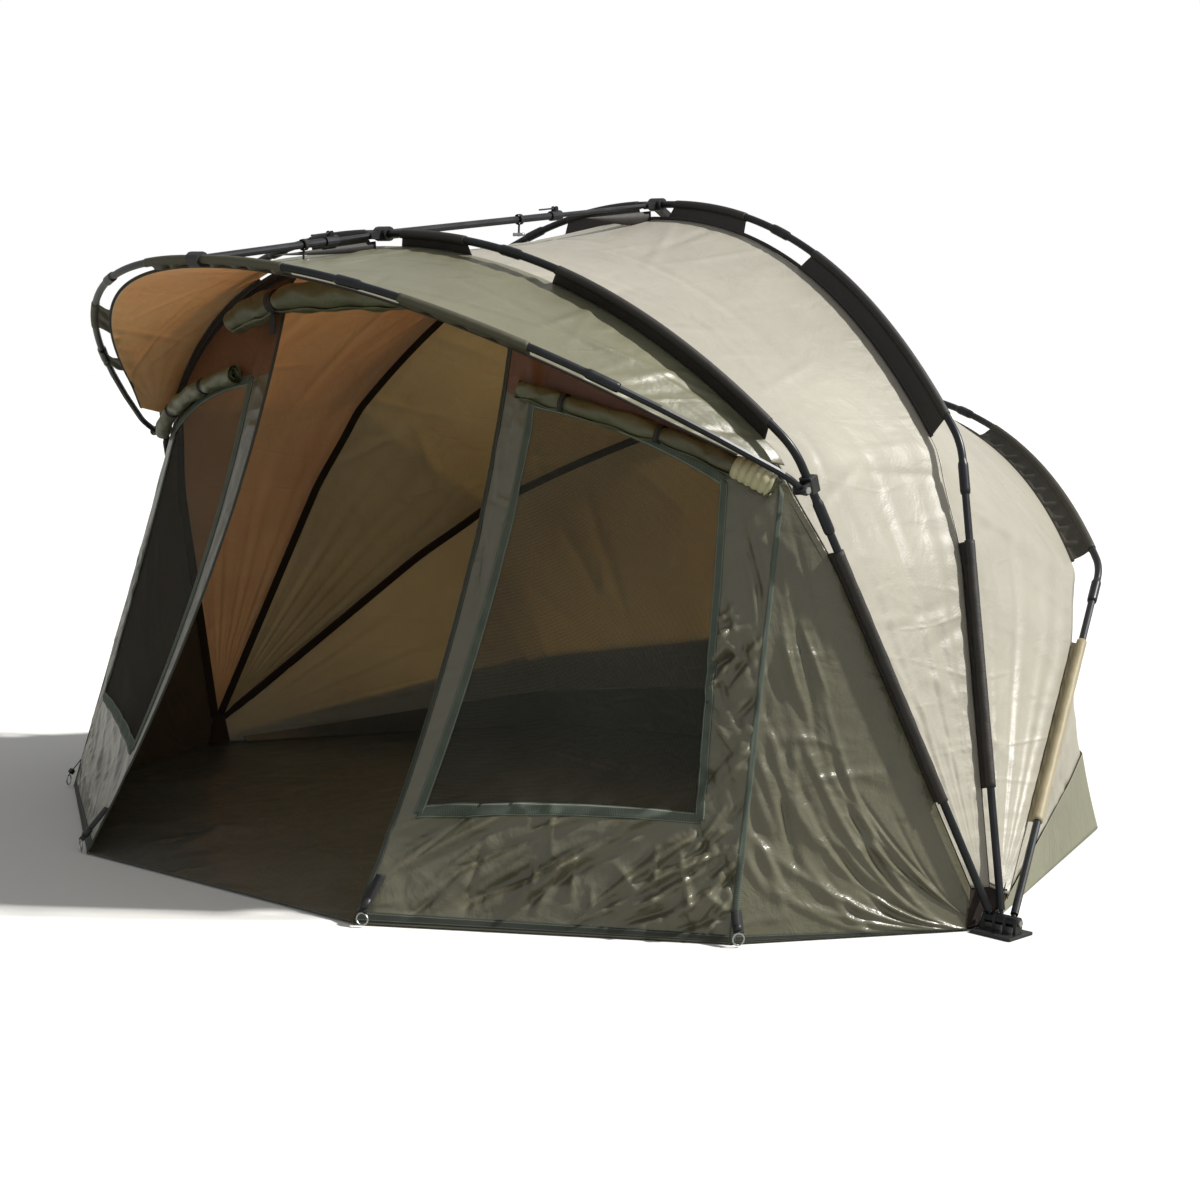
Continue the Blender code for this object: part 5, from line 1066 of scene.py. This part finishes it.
def roll_shape(ties, pinch, seed, bulges=None):
    """The swelling of a roll: 1, less pinch * exp(-(d / 22 mm)^2) at each tie, plus two waves that
    run slantwise round it and, between start and stop, gathers a pitch apart."""
    def shape(s, angle, t):
        total = s.max()
        drawn = sum(np.exp(-((s - tie * total) / 0.022) ** 2) for tie in ties)
        folds = 0.075 * np.sin(2 * angle + 31 * s + seed) + 0.055 * np.sin(angle * 3 - 57 * s + 2 * seed)
        shape = 1 - pinch * drawn + folds * smooth(t * 3) * (1 - 0.6 * drawn)
        if bulges is not None:
            start, stop, pitch = bulges
            there = smooth((s - start) / 0.01) * smooth((stop - s) / 0.01)
            gathers = np.abs(np.sin(np.pi * (s - start) / pitch + 0.25 * np.sin(angle)))
            shape = shape + there * 0.16 * (gathers - 0.35)
        return shape
    return shape


def make_window_roll(side, hand):
    """The rolled window cover, tied up at two places along the window's head. The right one's outer
    end is gathered in bulges, drawn in a pale colour that is painted sunlight on the same olive roll cloth."""
    end = 0.92 if side > 0 else 0.81
    share = np.linspace(0.035, end, 120)
    drop = lerp(0.045, 0.175, np.sin(np.pi / 2 * share))
    radius = 0.0245
    path = wall(side, 1 + share, drop, radius + CLOTH)
    total = running(path)
    ties = (0.43, 0.80) if side > 0 else (0.26, 0.70)
    gathered, pitch = 0.105, 0.0175
    bulges = (0.004, gathered, pitch) if side > 0 else None
    made, grid = wound(f"window_cover_roll_{hand}", path, radius, 0.006, 4.6, ROLL_CLOTH,
                       roll_shape(ties, 0.24, 1.3 + side, bulges))
    riding(made, "front_rib", "roll", f"window_roll_{hand}")
    tied = (radius * 0.86, radius * 0.86)
    bands = [band(*place_on(path, tie * total[-1]), tied, 0.012) for tie in ties]
    if side > 0:
        # The gathered end is the roll cloth painted pale, as the sun lights it.
        s = np.linspace(0.0, gathered, 90)
        gather = 1.0 + 0.13 * (np.abs(np.sin(np.pi * s / pitch)) - 0.5) - 0.55 * (1 - smooth(s / 0.012))
        cover = pole_grid(at(path, total, s), radius * 1.10 * gather, UP, 36)
        bands.append(surface("gathered_end", cover, PAINTED_SUNLIT_ROLL_END, wrap=True, caps=True))
    ties_made = joined(f"window_ties_{hand}", bands)
    riding(ties_made, "front_rib", "roll")
    sheet(made, grid)


def make_door_roll():
    """The rolled door under the front rib, thinner towards its right end by 0.55 + 0.45 sin, with the
    strap that holds it up."""
    x = np.linspace(0.225, -0.540, 130)
    aside = smooth(-x / 0.330)
    rise = np.interp(-np.abs(x), -WALL_SEAM[:, 0], WALL_SEAM[:, 1])
    path = FRONT.place(np.stack([x, rise - lerp(0.105, 0.062, aside)], -1), lerp(0.042, 0.124, aside))
    tie = 0.74

    def shape(s, angle, t):
        narrow = lerp(0.55, 1.0, np.sin(np.pi / 2 * np.minimum(2 * s / s.max(), 1)))
        return narrow * roll_shape((tie,), 0.30, 0.4)(s, angle, t)
    made, grid = wound("door_cover_roll", path, 0.040, 0.008, 5.6, ROLL_CLOTH, shape)
    riding(made, "front_rib", "roll", "door_roll")
    centre, axis = place_on(path, tie * running(path)[-1])
    half = axis * 0.015
    loop = band(centre, axis, (0.030, 0.031), 0.030)
    seam = FRONT.place([centre[0], np.interp(-abs(centre[0]), -WALL_SEAM[:, 0], WALL_SEAM[:, 1])])
    to_roll = np.linspace(0.002, np.linalg.norm(centre - seam) - 0.024, 12)[:, None]
    strap = flat_strap(seam + unit(centre - seam) * to_roll, half)
    hang = centre + np.array([0.0, -0.012, 0.0]) - UP * np.linspace(0.030, 0.085, 8)[:, None]
    tail = flat_strap(hang, half * 0.8)
    straps = riding(joined("door_strap", [loop, strap, tail]), "front_rib", "roll")
    sheet(made, grid)


# --- ground, inner bands and small pieces --------------------------------------

def make_groundsheet():
    """The groundsheet: flat inside the hems, turned up as a low wall along the back. Its grid is the
    outline shrunk towards a centre, in 90 steps, with random creases up to 15 mm high."""
    hub, corner, door = (p[:2] for p in feet(1))
    left_hub, left_corner, left_door = (p[:2] for p in feet(-1))
    back = np.array(REAR_HEM)[:, 1:]
    left_back = (back[:-1] * [-1, 1])[::-1]
    outline = np.vstack([door, corner, hub, back, left_back, left_hub, left_corner, left_door, door])
    ring = resample(outline, np.linspace(0, 1, 300))
    centre = np.array([0.0, 0.15])
    t = np.linspace(0.02, 0.9985, 90)[:, None]
    flat = centre + (ring - centre) * t[..., None]
    x, y = flat[..., 0], flat[..., 1]
    lines = scattered(60, (-1.2, 1.2), (-1.0, 1.2), (0.3, 0.9), (-180, 180), (0.0050, 0.0110),
                      (0.012, 0.030))
    hold = smooth((1 - t) / 0.06)
    z = 0.0025 + np.clip(creases(x, y, lines), -0.0005, 0.0150) * hold
    z = z + 0.0012 * hold * (np.sin(x * 9 + y * 4) + 1)
    z = z + 0.0060 * smooth((t - 0.988) / 0.0105)
    made = surface("groundsheet_cloth", np.dstack([flat, z]), GROUND_PVC, thickness=THIN_SHEET)
    riding(made, "ground", "groundsheet", "groundsheet")
    sheet(made, np.dstack([flat, 0 * z]))
    rows = spanned(REAR_SEAM_BACK, rear_hem(0.02), 300, CANOPY_SAG, HUB_LINE)
    lowest = rows[np.linspace(246, 299, 24).astype(int)]
    inside = lowest - normals(lowest, HUB_LINE) * 0.008
    inside[-1, :, 2] = 0.0008
    upturn = surface("groundsheet_upturn", inside, GROUND_PVC, thickness=THIN_SHEET)
    riding(upturn, "ground", "groundsheet")
    sheet(upturn, inside)


def make_hub_patches():
    """The dark corner cloths behind the hubs, from the ribs' low seam ends to the ground."""
    for side, hand in SIDES:
        ends = []
        for rib in ROOF:
            ends.append(rib.place(resample(rib.seam(*ROOF[rib]), [SEAM_START])[0] * [side, 1.0]))
        top = resample(np.array(ends), np.linspace(0, 1, 13)) + [0.0, 0.0, 0.012]
        along_hub = np.linspace(-0.047, 0.047, 13)[:, None] * [0, 1, 0]
        foot = np.array([side * HUB_CORNER[0], 0.0, 0.0012]) + along_hub
        grid = lerp(top[None], foot[None], np.linspace(0, 1, 12)[:, None, None])
        grid[..., 0] -= side * 0.004
        made = surface(f"hub_patch_{hand}", grid, SEAM_BAND_AND_PAINTED_SHADE, thickness=THIN_SHEET)
        riding(made, "ground", "groundsheet")
        sheet(made, grid)


def make_inner_bands_with_painted_shade():
    """The seam allowances along each rib, 3 cm wide and 8 mm inside the seam, dark in part as painted
    shade: seen from inside, the web and pole outside keep back the light that comes through the roof.
    """
    for tag, rib in zip(("front", "mid", "rear"), ROOF):
        flat = mirrored(resample(rib.seam(*ROOF[rib]), np.linspace(SEAM_START, 1.0, 150)))
        line = (flat + rib.inward(flat) * 0.008)[:, None]
        width = np.linspace(-0.015, 0.015, 5)
        grid = rib.place(np.broadcast_to(line, (len(flat), len(width), 2)), width[None, :])
        made = surface(f"{tag}_inner_band", grid, SEAM_BAND_AND_PAINTED_SHADE, thickness=THIN_SHEET)
        riding(made, f"{tag}_rib", "web")
        sheet(made, grid)


def make_tabs():
    """Webbing tabs at the four front feet, each with a buckle, running down to its ring."""
    just_above_hem = np.array([0.93])
    for place, run in (("corner", 1.0), ("door", 1.97)):
        for side, hand in SIDES:
            low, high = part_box(f"{place}_ring_{hand}")
            top = wall(side, np.array([run]), just_above_hem, 0.003)[0]
            ring_top = np.array([(low.x + high.x) / 2, (low.y + high.y) / 2, high.z - 0.002])
            across = unit(np.cross(ring_top - top, UP))
            tab = flat_strap(lerp(top, ring_top, np.linspace(0, 1, 16)[:, None]), across * 0.0125)
            buckle_line = lerp(top, ring_top, np.array([[0.62], [0.66], [0.86], [0.90]]))
            clip = pole_grid(buckle_line, np.array([0.004, 0.009, 0.009, 0.004]), across, 14)
            buckle = surface("buckle", clip, NYLON, wrap=True, caps=True)
            riding(joined(f"{place}_tab_{hand}", [tab, buckle]), "front_rib", "wall")


def bar_line(back, fore):
    """The crown of the rib behind, and the direction of the ridge bar to the crown ahead."""
    start = back.place(back.half[-1])
    return start, unit(fore.place(fore.half[-1]) - start)


def make_ridge_fins():
    """Dark cloth fins under the ridge bars beside the crown connectors: depth * (1 - share^1.5)."""
    jobs = (
        ("hood_ridge_fin", "front_rib", FRONT, HOOD, 0.03, 0.36, 0.024),
        ("mid_ridge_fin", "mid_rib", MID, FRONT, 0.03, 0.30, 0.042),
    )
    under_the_bar = 0.0155
    for name, body, back, fore, start, stop, depth in jobs:
        crown, along = bar_line(back, fore)
        down = np.array([0.0, along[2], -along[1]])
        down = down * np.sign(-down[2])
        s = np.linspace(start, stop, 40)
        top = crown + along * s[:, None] + down * under_the_bar
        low = top + down * (depth * (1 - ((s - start) / (stop - start)) ** 1.5))[:, None]
        fin = surface(name, np.stack([top, lerp(top, low, 0.5), low], 1), WEB, thickness=0.0016)
        riding(fin, body, "web")


def make_bar_clips():
    """The toggles that hang from the ridge bars, each on a loop and a short hanger."""
    jobs = (
        ("hood_bar_toggle", "front_rib", FRONT, HOOD, 0.262),
        ("front_bar_toggle", "mid_rib", MID, FRONT, 0.560),
    )
    for name, body, back, fore, where in jobs:
        crown, along = bar_line(back, fore)
        centre = crown + along * where
        drop = centre - UP * np.linspace(0.012, 0.040, 6)[:, None]
        hanger = surface("hanger", pole_grid(drop, 0.0028, along, 10), BLACK_TAPE, wrap=True, caps=True)
        peg = drop[-1] + np.array([1.0, 0.0, 0.0]) * np.linspace(-0.018, 0.018, 9)[:, None]
        radii = 0.0042 + 0.0014 * np.cos(np.linspace(-2.6, 2.6, 9)) ** 2
        toggle = surface("toggle", pole_grid(peg, radii, UP, 12), ZINC, wrap=True, caps=True)
        riding(joined(name, [band(centre, along, (0.0125, 0.0125), 0.011), hanger, toggle]), body, "web")


def finish_nodes():
    """Give the kept CAD nodes the finish of their real material."""
    finishes = {"pole": POLE_COAT, "moulding": NYLON, "steel": ZINC}
    for part in frame["record"]["subparts"]:
        node = frame["nodes"][part["node"]]
        if part["material_slot"] in finishes and not node.hide_render:
            node.data.materials.clear()
            node.data.materials.append(finishes[part["material_slot"]])


# --- stage ----------------------------------------------------------------------

def make_stage():
    """A pale floor, a sky that is dimmer on the left, and one sun from the upper right, behind.

    The camera sees a white sky and a near white floor. The light that they give is dimmer: the sky's
    strength rises from 0.16 on the left to 0.46 on the right, and is 0.42 of the way from there to 1
    in reflections."""
    corners = [[[-40.0, -40, 0], [40, -40, 0]], [[-40, 40, 0], [40, 40, 0]]]
    floor = surface("floor", np.array(corners), None)
    pale, nodes, shader = new_material("studio_floor")
    seen = nodes.add("ShaderNodeLightPath").outputs["Is Camera Ray"]
    colour = nodes.coloured(seen, (0.0, "b2b2aa"), (1.0, "f4f4f2"))
    nodes.feed(shader, {"Base Color": colour, "Roughness": 0.9})
    floor.data.materials[0] = pale
    world = bpy.data.worlds.new("studio")
    nodes = Nodes(world)
    path = nodes.add("ShaderNodeLightPath").outputs
    direct = nodes.maths("MAXIMUM", path["Is Camera Ray"], path["Is Transmission Ray"])
    mirrored_part = nodes.maths("MULTIPLY", path["Is Glossy Ray"], 0.42)
    seen = nodes.maths("MAXIMUM", direct, mirrored_part)
    rightward = nodes.add("ShaderNodeSeparateXYZ", {0: nodes.direction}).outputs[0]
    dim = nodes.ranged(rightward, -0.8, 0.6, 0.16, 0.46)
    nodes.feed(nodes.tree.nodes["Background"], {
        "Strength": nodes.ranged(seen, 0.0, 1.0, dim, 1.0), "Color": srgb("ffffff"),
    })
    bpy.context.scene.world = world
    sun = bpy.data.lights.new("sun", "SUN")
    sun.energy = 4.7
    sun.angle = math.radians(2.5)
    sun.color = (1.0, 0.975, 0.93)
    lamp = bpy.data.objects.new("sun", sun)
    lamp.rotation_mode = "QUATERNION"
    lamp.rotation_quaternion = Vector(TO_SUN).to_track_quat("Z", "Y")
    bpy.context.scene.collection.objects.link(lamp)


def make_camera():
    """The photograph's viewpoint: 6.3 m away, turned 42.6 degrees to the left, pitched 6.7 down and
    rolled 2 degrees."""
    yaw, pitch, roll = (math.radians(angle) for angle in CAMERA_TURN)
    ahead = Vector((math.sin(yaw) * math.cos(pitch), math.cos(yaw) * math.cos(pitch), math.sin(pitch)))
    right = Vector((math.cos(yaw), -math.sin(yaw), 0.0))
    up = right.cross(ahead)
    side = right * math.cos(roll) + up * math.sin(roll)
    top = -right * math.sin(roll) + up * math.cos(roll)
    data = bpy.data.cameras.new("camera")
    data.lens = CAMERA_LENS
    data.sensor_width = 36
    camera = bpy.data.objects.new("camera", data)
    turn = Matrix((side, top, -ahead)).transposed().to_4x4()
    camera.matrix_world = Matrix.Translation(CAMERA_PLACE) @ turn
    bpy.context.scene.collection.objects.link(camera)
    bpy.context.scene.camera = camera


def main():
    """Make every piece, then the stage."""
    make_camera()
    make_arches()
    make_webs()
    make_brim()
    make_roof()
    make_hood_cloth()
    make_rear_panel()
    for side, hand in SIDES:
        make_wall(side, hand)
        make_window_roll(side, hand)
    make_door_roll()
    make_groundsheet()
    make_hub_patches()
    make_inner_bands_with_painted_shade()
    make_tabs()
    make_ridge_fins()
    make_bar_clips()
    finish_nodes()
    make_stage()
    bpy.context.scene.view_settings.view_transform = "Standard"


main()
